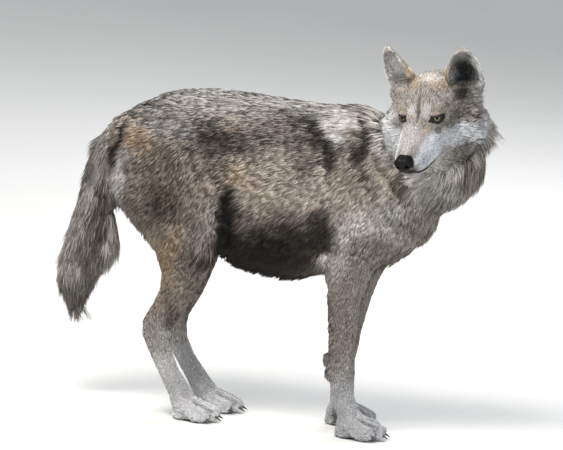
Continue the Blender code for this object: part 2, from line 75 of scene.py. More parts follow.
def linear(code: str) -> np.ndarray:
    """Turns an sRGB hex colour into linear light.

    Args:
        code: six hex digits.

    Returns:
        Three linear values.
    """
    raw = np.array([int(code[i : i + 2], 16) for i in (0, 2, 4)]) / 255
    return np.where(raw <= 0.04045, raw / 12.92, ((raw + 0.055) / 1.055) ** 2.4)


def rgba(code: str) -> tuple[float, float, float, float]:
    """The linear colour of a hex code with full alpha."""
    return (*linear(code), 1.0)


def unit(vectors: np.ndarray) -> np.ndarray:
    """Scales each row to length one."""
    return vectors / np.maximum(np.linalg.norm(vectors, axis=-1, keepdims=True), 1e-12)


def along_surface(vectors: np.ndarray, normals: np.ndarray) -> np.ndarray:
    """The part of each vector that lies along the surface."""
    return vectors - normals * (vectors * normals).sum(axis=1, keepdims=True)


def step(low: float, high: float, values: np.ndarray) -> np.ndarray:
    """A smooth rise from 0 at low to 1 at high."""
    share = np.clip((values - low) / (high - low), 0, 1)
    return share * share * (3 - 2 * share)


def value_noise(points: np.ndarray, size: float, seed: int = 0) -> np.ndarray:
    """Smooth noise from -1 to 1.

    Args:
        points: rows of places.
        size: the length over which it changes.
        seed: picks one noise.

    Returns:
        One value a row.
    """
    grid = points / size + 37.3
    cell = np.floor(grid).astype(np.int64)
    part = grid - cell
    part = part * part * (3 - 2 * part)
    total = np.zeros(len(points))
    for corner in range(8):
        bits = np.array([corner & 1, corner >> 1 & 1, corner >> 2 & 1])
        at = (cell + bits).astype(np.uint64) * HASH_PRIMES
        mixed = at[:, 0] ^ at[:, 1] ^ at[:, 2]
        mixed = (mixed ^ np.uint64(seed * 7919 + 17)) * np.uint64(2654435761) & LOW_BITS
        mixed = (mixed ^ mixed >> np.uint64(15)) * np.uint64(2246822519) & LOW_BITS
        worth = (mixed >> np.uint64(8)).astype(float) / 2**24 * 2 - 1
        total += worth * np.prod(np.where(bits, part, 1 - part), axis=1)
    return total


def ranks(values: np.ndarray) -> np.ndarray:
    """Each value's rank among them all, from 0 to 1."""
    rank = np.empty(len(values))
    rank[np.argsort(values)] = np.arange(len(values)) / max(len(values), 1)
    return rank


def streaks(points: np.ndarray, flow: np.ndarray, across: float, along: float, seed: int) -> np.ndarray:
    """Noise that is fine across the hair and drawn out along it.

    Args:
        points: rows of places.
        flow: the hair's direction at each.
        across: how wide a streak is.
        along: how long a streak is.
        seed: picks one noise.

    Returns:
        Each row's rank among them all, from 0 to 1.
    """
    samples = max(int(along / across), 2)
    shifts = np.linspace(-1, 1, samples)
    total = sum(value_noise(points + flow * (shift * along / 2), across, seed) for shift in shifts)
    return ranks(total)


class Region(Enum):
    """A part of the body with a coat of its own."""

    FACE = 0
    EAR = 1
    NECK = 2
    TRUNK = 3
    TAIL = 4
    SHOULDER = 5
    FOREARM = 6
    FOREPAW = 7
    THIGH = 8
    SHANK = 9
    HOCK = 10
    HINDPAW = 11


REGION_OF = {
    "head": Region.FACE,
    "ear_": Region.EAR,
    "neck": Region.NECK,
    "trunk": Region.TRUNK,
    "tail": Region.TAIL,
    "upper": Region.SHOULDER,
    "forearm": Region.FOREARM,
    "thigh": Region.THIGH,
    "shank": Region.SHANK,
    "metatarsus": Region.HOCK,
}


@dataclass(frozen=True)
class Pelage:
    """How the coat grows on one region: sizes in millimetres, density in tufts a square centimetre."""

    depth: float
    length: float
    width: float
    clump: float
    density: float
    pull: float


PELAGE = {
    Region.FACE: Pelage(2.0, 9.0, 0.80, 4.5, 55.0, 0.32),
    Region.EAR: Pelage(0.6, 8.0, 0.70, 4.5, 55.0, 0.30),
    Region.NECK: Pelage(11.0, 38.0, 1.65, 10.0, 15.6, 0.50),
    Region.TRUNK: Pelage(8.0, 30.0, 1.15, 7.0, 29.0, 0.34),
    Region.TAIL: Pelage(10.0, 50.0, 1.8, 11.0, 17.0, 0.52),
    Region.SHOULDER: Pelage(4.5, 20.0, 1.05, 6.0, 28.0, 0.30),
    Region.FOREARM: Pelage(2.2, 12.5, 0.98, 5.0, 19.0, 0.30),
    Region.FOREPAW: Pelage(1.5, 6.5, 0.90, 4.0, 28.0, 0.26),
    Region.THIGH: Pelage(5.5, 24.0, 1.10, 6.5, 25.0, 0.34),
    Region.SHANK: Pelage(3.0, 16.0, 1.02, 6.0, 21.5, 0.32),
    Region.HOCK: Pelage(2.2, 12.0, 0.98, 5.0, 20.5, 0.30),
    Region.HINDPAW: Pelage(1.5, 6.5, 0.90, 4.0, 27.0, 0.26),
}


def region_of(node: str) -> Region:
    """The region that a CAD node of flesh belongs to."""
    if "paw" in node:
        return Region.FOREPAW if node.startswith("fore") else Region.HINDPAW
    return next(region for word, region in REGION_OF.items() if word in node)


def is_flesh(node: str) -> bool:
    """Whether the skin stands for that CAD node."""
    return "claw" not in node and not node.startswith("eye") and node != "nose"


@dataclass
class HeadFrame:
    """The head's own frame, found from the CAD's eyes and nose."""

    eye_offset: tuple[float, float, float] = (-0.0060, 0.0370, -0.0010)
    nose_offset: tuple[float, float, float] = (0.1165, 0.0, -0.0310)
    matrix: Matrix = field(default_factory=lambda: Matrix.Identity(4))

    def settle(self) -> "HeadFrame":
        """Works out the frame from the boxes of the two eyes and the nose."""
        left, right, nose = (middle_of(name) for name in ("eye_left", "eye_right", "nose"))
        across = (left - right).normalized()
        between = (left + right) / 2
        ahead = (nose - between).normalized()
        ahead = (ahead - across * ahead.dot(across)).normalized()
        up = ahead.cross(across)
        known = Vector(self.nose_offset) - Vector((self.eye_offset[0], 0, self.eye_offset[2]))
        drop = math.atan2(-known.z, known.x)
        forward = ahead * math.cos(drop) + up * math.sin(drop)
        crown = up * math.cos(drop) - ahead * math.sin(drop)
        axes = Matrix((forward, across, crown)).transposed()
        origin = between - axes @ Vector((self.eye_offset[0], 0, self.eye_offset[2]))
        self.matrix = Matrix.Translation(origin) @ axes.to_4x4()
        return self

    def local(self, points: np.ndarray) -> np.ndarray:
        """Places in the head's frame."""
        turn = np.array(self.matrix.to_3x3())
        return (points - np.array(self.matrix.translation)) @ turn

    def local_direction(self, vectors: np.ndarray) -> np.ndarray:
        """Directions in the head's frame."""
        return vectors @ np.array(self.matrix.to_3x3())

    def world_direction(self, vectors: np.ndarray) -> np.ndarray:
        """Directions in the world, from the head's frame."""
        return vectors @ np.array(self.matrix.to_3x3()).T


@dataclass(frozen=True)
class EarFrame:
    """One ear's own frame: X out of its opening, Y across towards its outer edge, Z up to its tip."""

    side: int
    base: tuple[float, float, float] = (-0.104, 0.065, 0.004)
    lean: tuple[float, float, float] = (4.0, 22.0, 10.0)

    def matrix(self) -> Matrix:
        """The ear's frame in the head's."""
        tip, inward, spread = (math.radians(value) for value in self.lean)
        turn = Euler((-self.side * spread, tip, self.side * inward), "XYZ").to_matrix().to_4x4()
        return Matrix.Translation((self.base[0], self.side * self.base[1], self.base[2])) @ turn

    def local(self, places: np.ndarray, directions: bool = False) -> np.ndarray:
        """Places, or directions, of the head's frame in the ear's, with Y counted outwards."""
        matrix = self.matrix()
        moved = places if directions else places - np.array(matrix.translation)
        return moved @ np.array(matrix.to_3x3()) * np.array([1, self.side, 1])


EARS = (EarFrame(1), EarFrame(-1))


def in_nearer_ear(places: np.ndarray, left: np.ndarray, directions: bool = False) -> np.ndarray:
    """Places, or directions, of the head's frame in the left ear's if left is true, else in the right's."""
    return np.where(left, *(ear.local(places, directions) for ear in EARS))


def middle_of(node: str) -> Vector:
    """The middle of a CAD node's box."""
    low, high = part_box(node)
    return (Vector(low) + Vector(high)) / 2


# ---------------------------------------------------------------- materials


def add_node(tree: bpy.types.NodeTree, kind: str, settings: dict, inputs: dict) -> bpy.types.Node:
    """Adds a node.

    Args:
        tree: the material's or the world's tree.
        kind: the node's type name.
        settings: its properties by name.
        inputs: values, or sockets to link, by the input's name or number.

    Returns:
        The new node.
    """
    made = tree.nodes.new(kind)
    for name, value in settings.items():
        setattr(made, name, value)
    for name, value in inputs.items():
        if isinstance(value, bpy.types.NodeSocket):
            tree.links.new(value, made.inputs[name])
        else:
            made.inputs[name].default_value = value
    return made


def new_material(name: str) -> tuple[bpy.types.Material, bpy.types.NodeTree]:
    """An empty material with nodes, and its tree."""
    made = bpy.data.materials.new(name)
    made.use_nodes = True
    made.node_tree.nodes.clear()
    return made, made.node_tree


def close_material(tree: bpy.types.NodeTree, shader: bpy.types.Node) -> None:
    """Links a shader to the material's output."""
    add_node(tree, "ShaderNodeOutputMaterial", {}, {"Surface": shader.outputs[0]})


def varied(
    tree: bpy.types.NodeTree,
    colour: bpy.types.NodeSocket,
    noise: bpy.types.NodeSocket,
    span: tuple[float, float],
    tones: tuple[float, float],
) -> bpy.types.NodeSocket:
    """Makes a colour darker and lighter by a noise.

    Args:
        tree: the material's tree.
        colour: the colour.
        noise: what varies it.
        span: the noise's values that count as its lowest and its highest.
        tones: the factors on the colour at those two.

    Returns:
        The varied colour.
    """
    limits = {"From Min": span[0], "From Max": span[1], "To Min": tones[0], "To Max": tones[1]}
    tone = add_node(tree, "ShaderNodeMapRange", {}, {"Value": noise, **limits})
    scaled = {0: colour, "Scale": tone.outputs[0]}
    return add_node(tree, "ShaderNodeVectorMath", {"operation": "SCALE"}, scaled).outputs[0]


def blend(tree: bpy.types.NodeTree, noise: bpy.types.NodeSocket, low: str, high: str) -> bpy.types.NodeSocket:
    """A colour between two hex codes, by a noise."""
    inputs = {"Factor": noise, "A": rgba(low), "B": rgba(high)}
    return add_node(tree, "ShaderNodeMix", {"data_type": "RGBA"}, inputs).outputs["Result"]


@dataclass(frozen=True)
class GuardHair:
    """Grown hair: matt keratin with a soft gleam along each lock, its colour banded from root to tip, with
    painted shade at the root.
    """

    name: str = "guard_hair"
    roughness: float = 0.62
    gleam: float = 0.30
    mottle: float = 0.0035

    def material(self) -> bpy.types.Material:
        """Builds the finish, which reads the lock's own colour and varies it finely."""
        made, tree = new_material(self.name)
        colour = add_node(tree, "ShaderNodeAttribute", {"attribute_name": "coat"}, {})
        place = add_node(tree, "ShaderNodeTexCoord", {}, {})
        fine = add_node(
            tree,
            "ShaderNodeTexNoise",
            {},
            {"Vector": place.outputs["Object"], "Scale": 1 / self.mottle, "Detail": 2.0, "Roughness": 0.6},
        )
        tinted = varied(tree, colour.outputs["Color"], fine.outputs["Fac"], (0.3, 0.7), (0.82, 1.16))
        shader = add_node(
            tree,
            "ShaderNodeBsdfPrincipled",
            {},
            {"Base Color": tinted, "Roughness": self.roughness, "Specular IOR Level": self.gleam},
        )
        close_material(tree, shader)
        return made


@dataclass(frozen=True)
class Underfur:
    """The woolly underfur and short lying hair on the skin: matt, with a fine streaked nap."""

    name: str = "underfur"
    nap: float = 0.0016
    relief: float = 0.0009

    def material(self) -> bpy.types.Material:
        """Builds the finish: the coat's colours, painted darker on the skin as shade under the hair, broken
        by dark partings, over a napped bump.
        """
        made, tree = new_material(self.name)
        colour = add_node(tree, "ShaderNodeAttribute", {"attribute_name": "coat"}, {})
        bare = add_node(tree, "ShaderNodeAttribute", {"attribute_name": "bare"}, {})
        place = add_node(tree, "ShaderNodeTexCoord", {}, {})
        nap = add_node(
            tree,
            "ShaderNodeTexNoise",
            {},
            {"Vector": place.outputs["Object"], "Scale": 1 / self.nap, "Detail": 4.0, "Roughness": 0.7},
        )
        tinted = varied(tree, colour.outputs["Color"], nap.outputs["Fac"], (0.35, 0.65), (0.62, 1.12))
        raised = {"Height": nap.outputs["Fac"], "Distance": self.relief, "Strength": 0.7}
        bump = add_node(tree, "ShaderNodeBump", {}, raised)
        rough = add_node(
            tree,
            "ShaderNodeMapRange",
            {},
            {"Value": bare.outputs["Fac"], "To Min": 0.9, "To Max": 0.42},
        )
        shader = add_node(
            tree,
            "ShaderNodeBsdfPrincipled",
            {},
            {
                "Base Color": tinted,
                "Roughness": rough.outputs[0],
                "Specular IOR Level": 0.25,
                "Normal": bump.outputs[0],
            },
        )
        close_material(tree, shader)
        return made


@dataclass(frozen=True)
class Leather:
    """Bare living skin of the nose, the lids and the pads: near black, pebbled, and damp where it gleams."""

    name: str
    colour: str
    pale: str
    pebble: float
    roughness: float
    relief: float
    damp: float

    def material(self) -> bpy.types.Material:
        """Builds the finish: pebbles, a faint blotch of a paler tone, and a thin damp film."""
        made, tree = new_material(self.name)
        place = add_node(tree, "ShaderNodeTexCoord", {}, {})
        pebbles = add_node(
            tree,
            "ShaderNodeTexVoronoi",
            {"feature": "SMOOTH_F1"},
            {"Vector": place.outputs["Object"], "Scale": 1 / self.pebble, "Smoothness": 0.5},
        )
        blotch = add_node(
            tree, "ShaderNodeTexNoise", {}, {"Vector": place.outputs["Object"], "Scale": 180.0, "Detail": 3.0}
        )
        tone = blend(tree, blotch.outputs["Fac"], self.colour, self.pale)
        bump = add_node(
            tree,
            "ShaderNodeBump",
            {"invert": True},
            {"Height": pebbles.outputs["Distance"], "Distance": self.relief, "Strength": 0.8},
        )
        shader = add_node(
            tree,
            "ShaderNodeBsdfPrincipled",
            {},
            {
                "Base Color": tone,
                "Roughness": self.roughness,
                "Specular IOR Level": 0.16,
                "Normal": bump.outputs[0],
                "Coat Weight": self.damp,
                "Coat Roughness": 0.45,
            },
        )
        close_material(tree, shader)
        return made


@dataclass(frozen=True)
class Horn:
    """Claw horn: smoke-dark keratin, semi-gloss, streaked along its length with a paler worn tone."""

    name: str = "claw_horn"
    colour: str = "1c1815"
    worn: str = "4d443b"

    def material(self) -> bpy.types.Material:
        """Builds the finish."""
        made, tree = new_material(self.name)
        place = add_node(tree, "ShaderNodeTexCoord", {}, {})
        stretch = add_node(
            tree, "ShaderNodeMapping", {}, {"Vector": place.outputs["Object"], "Scale": (1.0, 6.0, 3.0)}
        )
        streak = add_node(
            tree, "ShaderNodeTexNoise", {}, {"Vector": stretch.outputs[0], "Scale": 260.0, "Detail": 3.0}
        )
        tone = blend(tree, streak.outputs["Fac"], self.colour, self.worn)
        bump = add_node(
            tree, "ShaderNodeBump", {}, {"Height": streak.outputs["Fac"], "Distance": 0.0002, "Strength": 0.5}
        )
        shader = add_node(
            tree,
            "ShaderNodeBsdfPrincipled",
            {},
            {"Base Color": tone, "Roughness": 0.36, "Normal": bump.outputs[0]},
        )
        close_material(tree, shader)
        return made


@dataclass(frozen=True)
class WetEye:
    """A living eye: amber iris with radial fibres, a dark ring, a round pupil, under a clear wet surface."""

    name: str = "wet_eye"
    pupil: str = "050505"
    inner: str = "55543a"
    iris: str = "8a8457"
    ring: str = "14110c"
    white: str = "2f2723"

    def material(self) -> bpy.types.Material:
        """Builds the finish from the eye's own attribute, which is 0 at the pupil's middle."""
        made, tree = new_material(self.name)
        gaze = add_node(tree, "ShaderNodeAttribute", {"attribute_name": "gaze"}, {})
        spoke = add_node(tree, "ShaderNodeAttribute", {"attribute_name": "spoke"}, {})
        fibres = add_node(
            tree,
            "ShaderNodeTexNoise",
            {"noise_dimensions": "1D"},
            {"W": spoke.outputs["Fac"], "Scale": 9.0, "Detail": 4.0, "Roughness": 0.7},
        )
        ramp = add_node(tree, "ShaderNodeValToRGB", {}, {"Fac": gaze.outputs["Fac"]})
        stops = (
            (0.0, self.pupil),
            (0.165, self.pupil),
            (0.190, self.inner),
            (0.34, self.iris),
            (0.385, self.ring),
            (0.50, self.ring),
            (0.70, self.white),
            (1.0, self.white),
        )
        band = ramp.color_ramp
        while len(band.elements) < len(stops):
            band.elements.new(0.5)
        for element, (place, code) in zip(band.elements, stops):
            element.position = place
            element.color = rgba(code)
        tinted = varied(tree, ramp.outputs["Color"], fibres.outputs["Fac"], (0.3, 0.7), (0.65, 1.2))
        shader = add_node(
            tree,
            "ShaderNodeBsdfPrincipled",
            {},
            {
                "Base Color": tinted,
                "Roughness": 0.5,
                "Specular IOR Level": 0.06,
                "Coat Weight": 0.30,
                "Coat Roughness": 0.02,
            },
        )
        close_material(tree, shader)
        return made


# ---------------------------------------------------------------- mesh helpers


def link_mesh(name: str, mesh: bpy.types.Mesh) -> bpy.types.Object:
    """Shows a mesh as an object at the origin."""
    made = bpy.data.objects.new(name, mesh)
    bpy.context.scene.collection.objects.link(made)
    return made


def from_bmesh(name: str, bm: bmesh.types.BMesh, material: bpy.types.Material) -> bpy.types.Object:
    """Makes a smooth-shaded object from a bmesh, and frees the bmesh."""
    mesh = bpy.data.meshes.new(name)
    bm.to_mesh(mesh)
    bm.free()
    mesh.polygons.foreach_set("use_smooth", [True] * len(mesh.polygons))
    mesh.materials.append(material)
    return link_mesh(name, mesh)


def finish_modifiers(thing: bpy.types.Object) -> None:
    """Applies every modifier of an object to its mesh."""
    graph = bpy.context.evaluated_depsgraph_get()
    made = bpy.data.meshes.new_from_object(thing.evaluated_get(graph))
    old, thing.data = thing.data, made
    thing.modifiers.clear()
    bpy.data.meshes.remove(old)


def read_points(mesh: bpy.types.Mesh) -> np.ndarray:
    """The places of a mesh's vertices."""
    flat = np.empty(len(mesh.vertices) * 3)
    mesh.vertices.foreach_get("co", flat)
    return flat.reshape(-1, 3)


def read_normals(mesh: bpy.types.Mesh) -> np.ndarray:
    """The normals of a mesh's vertices."""
    flat = np.empty(len(mesh.vertices) * 3)
    mesh.vertex_normals.foreach_get("vector", flat)
    return flat.reshape(-1, 3)


def write_points(mesh: bpy.types.Mesh, points: np.ndarray) -> None:
    """Moves a mesh's vertices."""
    mesh.vertices.foreach_set("co", points.ravel())
    mesh.update()


def write_attribute(mesh: bpy.types.Mesh, name: str, values: np.ndarray) -> None:
    """Stores a colour or a number for each vertex."""
    if values.ndim == 2:
        layer = mesh.attributes.new(name, "FLOAT_COLOR", "POINT")
        full = np.ones((len(values), 4))
        full[:, :3] = values
        layer.data.foreach_set("color", full.ravel())
    else:
        layer = mesh.attributes.new(name, "FLOAT", "POINT")
        layer.data.foreach_set("value", values)


# ---------------------------------------------------------------- markings


class Frame(Enum):
    """Where a patch of colour is placed, mirrored about the middle plane."""

    BODY = 0
    HEAD = 1
    EAR = 2


@dataclass(frozen=True)
class Patch:
    """A soft-edged patch of the coat: where it is, the colour of its light hair and its share of black tips.
    Some patches are painted shade and some are painted highlight.

    The centre is x, distance from the middle plane, z. The slant turns it about the sideways axis, in
    degrees. It is on both sides of the animal unless its side is 1, the left, or -1, the right.
    """

    frame: Frame
    centre: tuple[float, float, float]
    reach: tuple[float, float, float]
    light: str
    dark: float
    strength: float = 1.0
    slant: float = 0.0
    edge: float = 0.55
    regions: tuple[Region, ...] = ()
    side: int = 0


B, H, E = Frame.BODY, Frame.HEAD, Frame.EAR
BASE = {
    Region.FACE: ("b9b3ab", 0.22),
    Region.EAR: ("a59c91", 0.20),
    Region.NECK: ("d6d2cd", 0.16),
    Region.TRUNK: ("aba195", 0.28),
    Region.TAIL: ("b3aeaa", 0.24),
    Region.SHOULDER: ("b9b1a7", 0.12),
    Region.FOREARM: ("978f86", 0.14),
    Region.FOREPAW: ("d2d3d6", 0.03),
    Region.THIGH: ("958b7f", 0.30),
    Region.SHANK: ("9c9083", 0.18),
    Region.HOCK: ("aca8a3", 0.12),
    Region.HINDPAW: ("eeeef0", 0.02),
}
LEGS = (Region.FOREARM, Region.FOREPAW, Region.SHANK, Region.HOCK, Region.HINDPAW)
TORSO = (Region.TRUNK, Region.NECK, Region.THIGH, Region.SHOULDER)
TAILED = (*TORSO, Region.TAIL)
REAR = (Region.THIGH, Region.SHANK)
SHIN = (Region.SHANK, Region.HOCK)
FOLD = (*TORSO, Region.SHANK)
ELBOW = (*TORSO, Region.FOREARM)
BRUSH = (Region.TAIL,)
DOCK = (Region.TAIL, Region.TRUNK)
NAPE = (Region.NECK, Region.FACE)
RUFF = (*NAPE, Region.TRUNK)
LEAF = (Region.EAR,)
EAR_ROOT = (Region.FACE, Region.EAR)
PATCHES = (
    # the back, from the rump to the withers: grizzled grey on top, black beside it
    Patch(B, (-0.060, 0.000, 0.690), (0.340, 0.080, 0.055), "bcbab9", 0.46, 0.95, regions=TORSO),
    Patch(B, (-0.121, 0.085, 0.604), (0.103, 0.060, 0.036), "69625a", 0.90, 0.95, -10, regions=TORSO),
    Patch(B, (0.040, 0.085, 0.632), (0.120, 0.055, 0.034), "9b948b", 0.68, 0.85, 4, regions=TORSO),
    Patch(B, (-0.236, 0.066, 0.640), (0.080, 0.070, 0.030), "a9a6a5", 0.42, 0.9, -20, regions=TORSO),
    Patch(B, (0.036, 0.066, 0.670), (0.034, 0.050, 0.016), "77726d", 0.72, 0.8, -8, regions=TORSO),
    # the flank and the belly
    Patch(B, (0.050, 0.105, 0.535), (0.190, 0.050, 0.062), "bcb1a6", 0.13, 0.9, -4, regions=TORSO),
    Patch(B, (-0.030, 0.100, 0.500), (0.090, 0.060, 0.045), "b6aa9c", 0.14, 0.8, -14, regions=TORSO),
    # painted shade: the lower flank darkens downwards to near black under the belly, and by the elbow
    Patch(B, (0.054, 0.070, 0.399), (0.148, 0.110, 0.060), "38312a", 0.90, 1.0, 6, 0.75, regions=TORSO),
    Patch(B, (0.020, 0.000, 0.340), (0.230, 0.130, 0.050), "26211d", 0.97, 1.0, 0, regions=TORSO),
    Patch(B, (0.122, 0.105, 0.438), (0.022, 0.060, 0.050), "423b34", 0.75, 0.9, 8, 0.7, regions=TORSO),
    Patch(B, (-0.066, 0.100, 0.538), (0.032, 0.050, 0.022), "b8a78f", 0.10, 0.85, -20, regions=TORSO),
    Patch(B, (-0.128, 0.100, 0.548), (0.022, 0.060, 0.040), "7d7266", 0.45, 0.85, 20, 0.7, regions=TORSO),
    # rump, thigh and the tail
    Patch(B, (-0.205, 0.110, 0.540), (0.060, 0.050, 0.030), "8a8073", 0.34, 0.7, -20, 0.7, regions=TORSO),
    Patch(B, (-0.226, 0.115, 0.462), (0.034, 0.050, 0.048), "5f5648", 0.52, 0.92, 20, 0.7, regions=TORSO),
    Patch(B, (-0.200, 0.100, 0.385), (0.060, 0.060, 0.036), "aea191", 0.14, 0.8, 0, regions=TORSO),
    # painted highlight along the knee's front edge
    Patch(B, (-0.124, 0.115, 0.430), (0.022, 0.050, 0.060), "9a948c", 0.18, 0.9, -14, regions=TORSO),
    # painted shade in the fold between the flank and the thigh
    Patch(B, (-0.086, 0.090, 0.428), (0.020, 0.080, 0.056), "1b1816", 1.0, 1.0, -8, 0.5, regions=FOLD),
    Patch(B, (-0.086, 0.095, 0.488), (0.010, 0.060, 0.034), "1f1b19", 1.0, 0.95, -12, 0.6, regions=TORSO),
    Patch(B, (-0.290, 0.095, 0.592), (0.034, 0.050, 0.026), "ad9680", 0.18, 0.88, 24, regions=TAILED),
    Patch(B, (-0.325, 0.070, 0.508), (0.018, 0.070, 0.055), "dad8d8", 0.06, 0.95, -6, 0.65, regions=TORSO),
    Patch(B, (-0.206, 0.090, 0.350), (0.026, 0.060, 0.070), "9d8871", 0.10, 0.9, -14, regions=REAR),
    Patch(B, (-0.150, 0.090, 0.320), (0.022, 0.060, 0.070), "8a8178", 0.36, 0.85, 0, regions=REAR),
    Patch(B, (-0.185, 0.085, 0.225), (0.014, 0.060, 0.060), "786f66", 0.45, 0.8, 20, regions=SHIN),
    Patch(B, (-0.355, 0.000, 0.600), (0.030, 0.050, 0.050), "cfcac4", 0.10, 0.95, 0, regions=DOCK),
    Patch(B, (-0.352, 0.000, 0.520), (0.012, 0.050, 0.090), "4a4541", 0.88, 0.9, 6, regions=BRUSH),
    Patch(B, (-0.414, 0.000, 0.492), (0.013, 0.050, 0.085), "5b5c63", 0.72, 0.95, -13, regions=BRUSH),
    Patch(B, (-0.400, 0.000, 0.400), (0.050, 0.050, 0.120), "a9a4a1", 0.20, 0.8, 0, regions=BRUSH),
    Patch(B, (-0.368, 0.000, 0.400), (0.018, 0.060, 0.100), "5f5850", 0.62, 0.9, 4, regions=BRUSH),
    Patch(B, (-0.390, 0.000, 0.310), (0.026, 0.060, 0.060), "7d756d", 0.42, 0.8, 10, regions=BRUSH),
    Patch(B, (-0.425, 0.000, 0.225), (0.050, 0.050, 0.035), "6f6861", 0.50, 0.8, 0, regions=BRUSH),
    Patch(B, (-0.334, 0.078, 0.575), (0.009, 0.055, 0.052), "34302e", 0.95, 1.0, -15, 0.45, regions=TAILED),
    # shoulder and chest
    Patch(B, (0.185, 0.100, 0.540), (0.060, 0.050, 0.050), "b6ac9f", 0.20, 0.8, 0, regions=TORSO),
    # painted highlight on the upper arm over its cream hair, then a painted grey sheen before it
    Patch(B, (0.205, 0.110, 0.472), (0.038, 0.050, 0.034), "d3cec8", 0.06, 0.85, 24, 0.8, regions=TORSO),
    Patch(B, (0.172, 0.110, 0.436), (0.022, 0.050, 0.030), "d3cec8", 0.06, 0.8, 0, 0.8, regions=TORSO),
    Patch(B, (0.266, 0.100, 0.486), (0.020, 0.060, 0.026), "bfbeb9", 0.08, 0.8, 24, 0.7, regions=TORSO),
    # painted shade under the chest, between the forelegs
    Patch(B, (0.255, 0.080, 0.405), (0.034, 0.090, 0.042), "8f8a80", 0.24, 0.85, 0, regions=TORSO),
    # pale throat hair darkened with painted shade under the head
    Patch(B, (0.340, 0.000, 0.520), (0.080, 0.120, 0.110), "9d998f", 0.24, 0.9, 0, regions=TORSO),
    Patch(B, (0.350, 0.060, 0.490), (0.026, 0.060, 0.020), "7a6f62", 0.40, 0.75, -25, regions=TORSO),
    Patch(B, (0.436, 0.050, 0.602), (0.025, 0.090, 0.066), "938b81", 0.50, 0.88, -18, regions=NAPE),
    # dark hair deepened by painted shade between the ruff and the shoulder
    Patch(B, (0.280, 0.090, 0.562), (0.012, 0.070, 0.056), "544b41", 0.62, 0.88, 14, 0.8, regions=TORSO),
    # painted shade under the chest
    Patch(B, (0.334, 0.050, 0.466), (0.030, 0.080, 0.022), "8d877d", 0.22, 0.85, 0, regions=TORSO),
    Patch(B, (0.304, 0.100, 0.556), (0.008, 0.060, 0.040), "cdcac6", 0.06, 0.9, 14, 0.5, regions=TORSO),
    # white withers between two black bars, and the white ruff behind the right cheek
    Patch(B, (0.078, 0.100, 0.590), (0.022, 0.050, 0.042), "7a7269", 0.46, 0.8, 16, 0.7, regions=TORSO),
    Patch(B, (0.130, 0.064, 0.672), (0.048, 0.044, 0.024), "c6c3c1", 0.08, 1.0, 12, 0.4, regions=TORSO),
    Patch(B, (0.134, 0.086, 0.646), (0.024, 0.040, 0.026), "c6c3c1", 0.08, 1.0, 30, 0.4, regions=TORSO),
    Patch(B, (0.099, 0.085, 0.650), (0.015, 0.060, 0.048), "2f2b2a", 1.0, 1.0, 40, 0.4, regions=TORSO),
    Patch(B, (0.128, 0.098, 0.598), (0.011, 0.050, 0.034), "4a4541", 0.90, 0.9, 8, 0.6, regions=TORSO),
    Patch(B, (0.193, 0.085, 0.630), (0.011, 0.070, 0.078), "4e4946", 0.92, 1.0, 8, 0.4, regions=TORSO),
    Patch(B, (0.212, 0.080, 0.640), (0.012, 0.060, 0.060), "a1978c", 0.30, 0.85, 8, 0.5, regions=TORSO),
    Patch(B, (0.256, 0.084, 0.668), (0.033, 0.060, 0.048), "f2f2f3", 0.0, 1.0, 0, 0.6, RUFF, -1),
    # elbow, forelegs and feet
    Patch(B, (0.168, 0.105, 0.372), (0.022, 0.060, 0.036), "cbc5be", 0.06, 0.85, 0, 0.8, regions=ELBOW),
    Patch(B, (0.135, 0.090, 0.385), (0.009, 0.030, 0.011), "d8d4cf", 0.0, 0.85, 0, regions=ELBOW),
    Patch(B, (0.215, 0.066, 0.300), (0.020, 0.060, 0.140), "9f9a93", 0.09, 0.8, 0, regions=LEGS),
    Patch(B, (0.142, 0.066, 0.260), (0.013, 0.060, 0.120), "857f78", 0.42, 0.9, 0, regions=LEGS),
    Patch(B, (0.145, 0.066, 0.132), (0.009, 0.020, 0.012), "2e2a27", 1.0, 0.9, 0, regions=LEGS),
    Patch(B, (0.185, 0.066, 0.070), (0.060, 0.060, 0.066), "b4b4b5", 0.05, 0.9, 0, 0.9, regions=LEGS),
    Patch(B, (0.162, 0.066, 0.022), (0.014, 0.040, 0.020), "4b4743", 0.80, 0.8, 0, regions=(Region.FOREPAW,)),
    Patch(B, (-0.150, 0.066, 0.090), (0.060, 0.060, 0.060), "b9b8b8", 0.06, 0.9, 0, regions=LEGS),
    # the head: crown, brow, eyes, cheeks, muzzle
    Patch(H, (-0.050, 0.000, 0.040), (0.060, 0.075, 0.040), "bdb6ad", 0.36, 0.9),
    Patch(H, (-0.090, 0.000, 0.050), (0.022, 0.040, 0.026), "dcd5cd", 0.04, 0.95),
    Patch(H, (-0.078, 0.043, 0.040), (0.018, 0.016, 0.020), "b9a186", 0.12, 0.8, regions=EAR_ROOT),
    Patch(H, (-0.066, 0.020, 0.040), (0.016, 0.014, 0.014), "c2ac92", 0.10, 0.5),
    Patch(H, (-0.012, 0.044, 0.016), (0.011, 0.016, 0.008), "bfab95", 0.10, 0.65),
    Patch(H, (-0.008, 0.018, 0.016), (0.013, 0.010, 0.012), "cdcccf", 0.06, 0.85),
    Patch(H, (-0.010, 0.000, 0.020), (0.036, 0.0035, 0.020), "6d655c", 0.60, 0.7),
    Patch(H, (0.018, 0.016, 0.002), (0.016, 0.008, 0.010), "9b938b", 0.30, 0.8),
    Patch(H, (0.036, 0.026, -0.008), (0.024, 0.009, 0.010), "c0ae99", 0.10, 0.8, 20),
    Patch(H, (0.062, 0.000, -0.002), (0.060, 0.020, 0.016), "d4d2d4", 0.10, 0.9),
    Patch(H, (0.062, 0.036, -0.046), (0.070, 0.028, 0.034), "eceef2", 0.0, 1.0, edge=0.3),
    Patch(H, (0.010, 0.064, -0.052), (0.045, 0.030, 0.030), "cfd0d3", 0.05, 1.0),
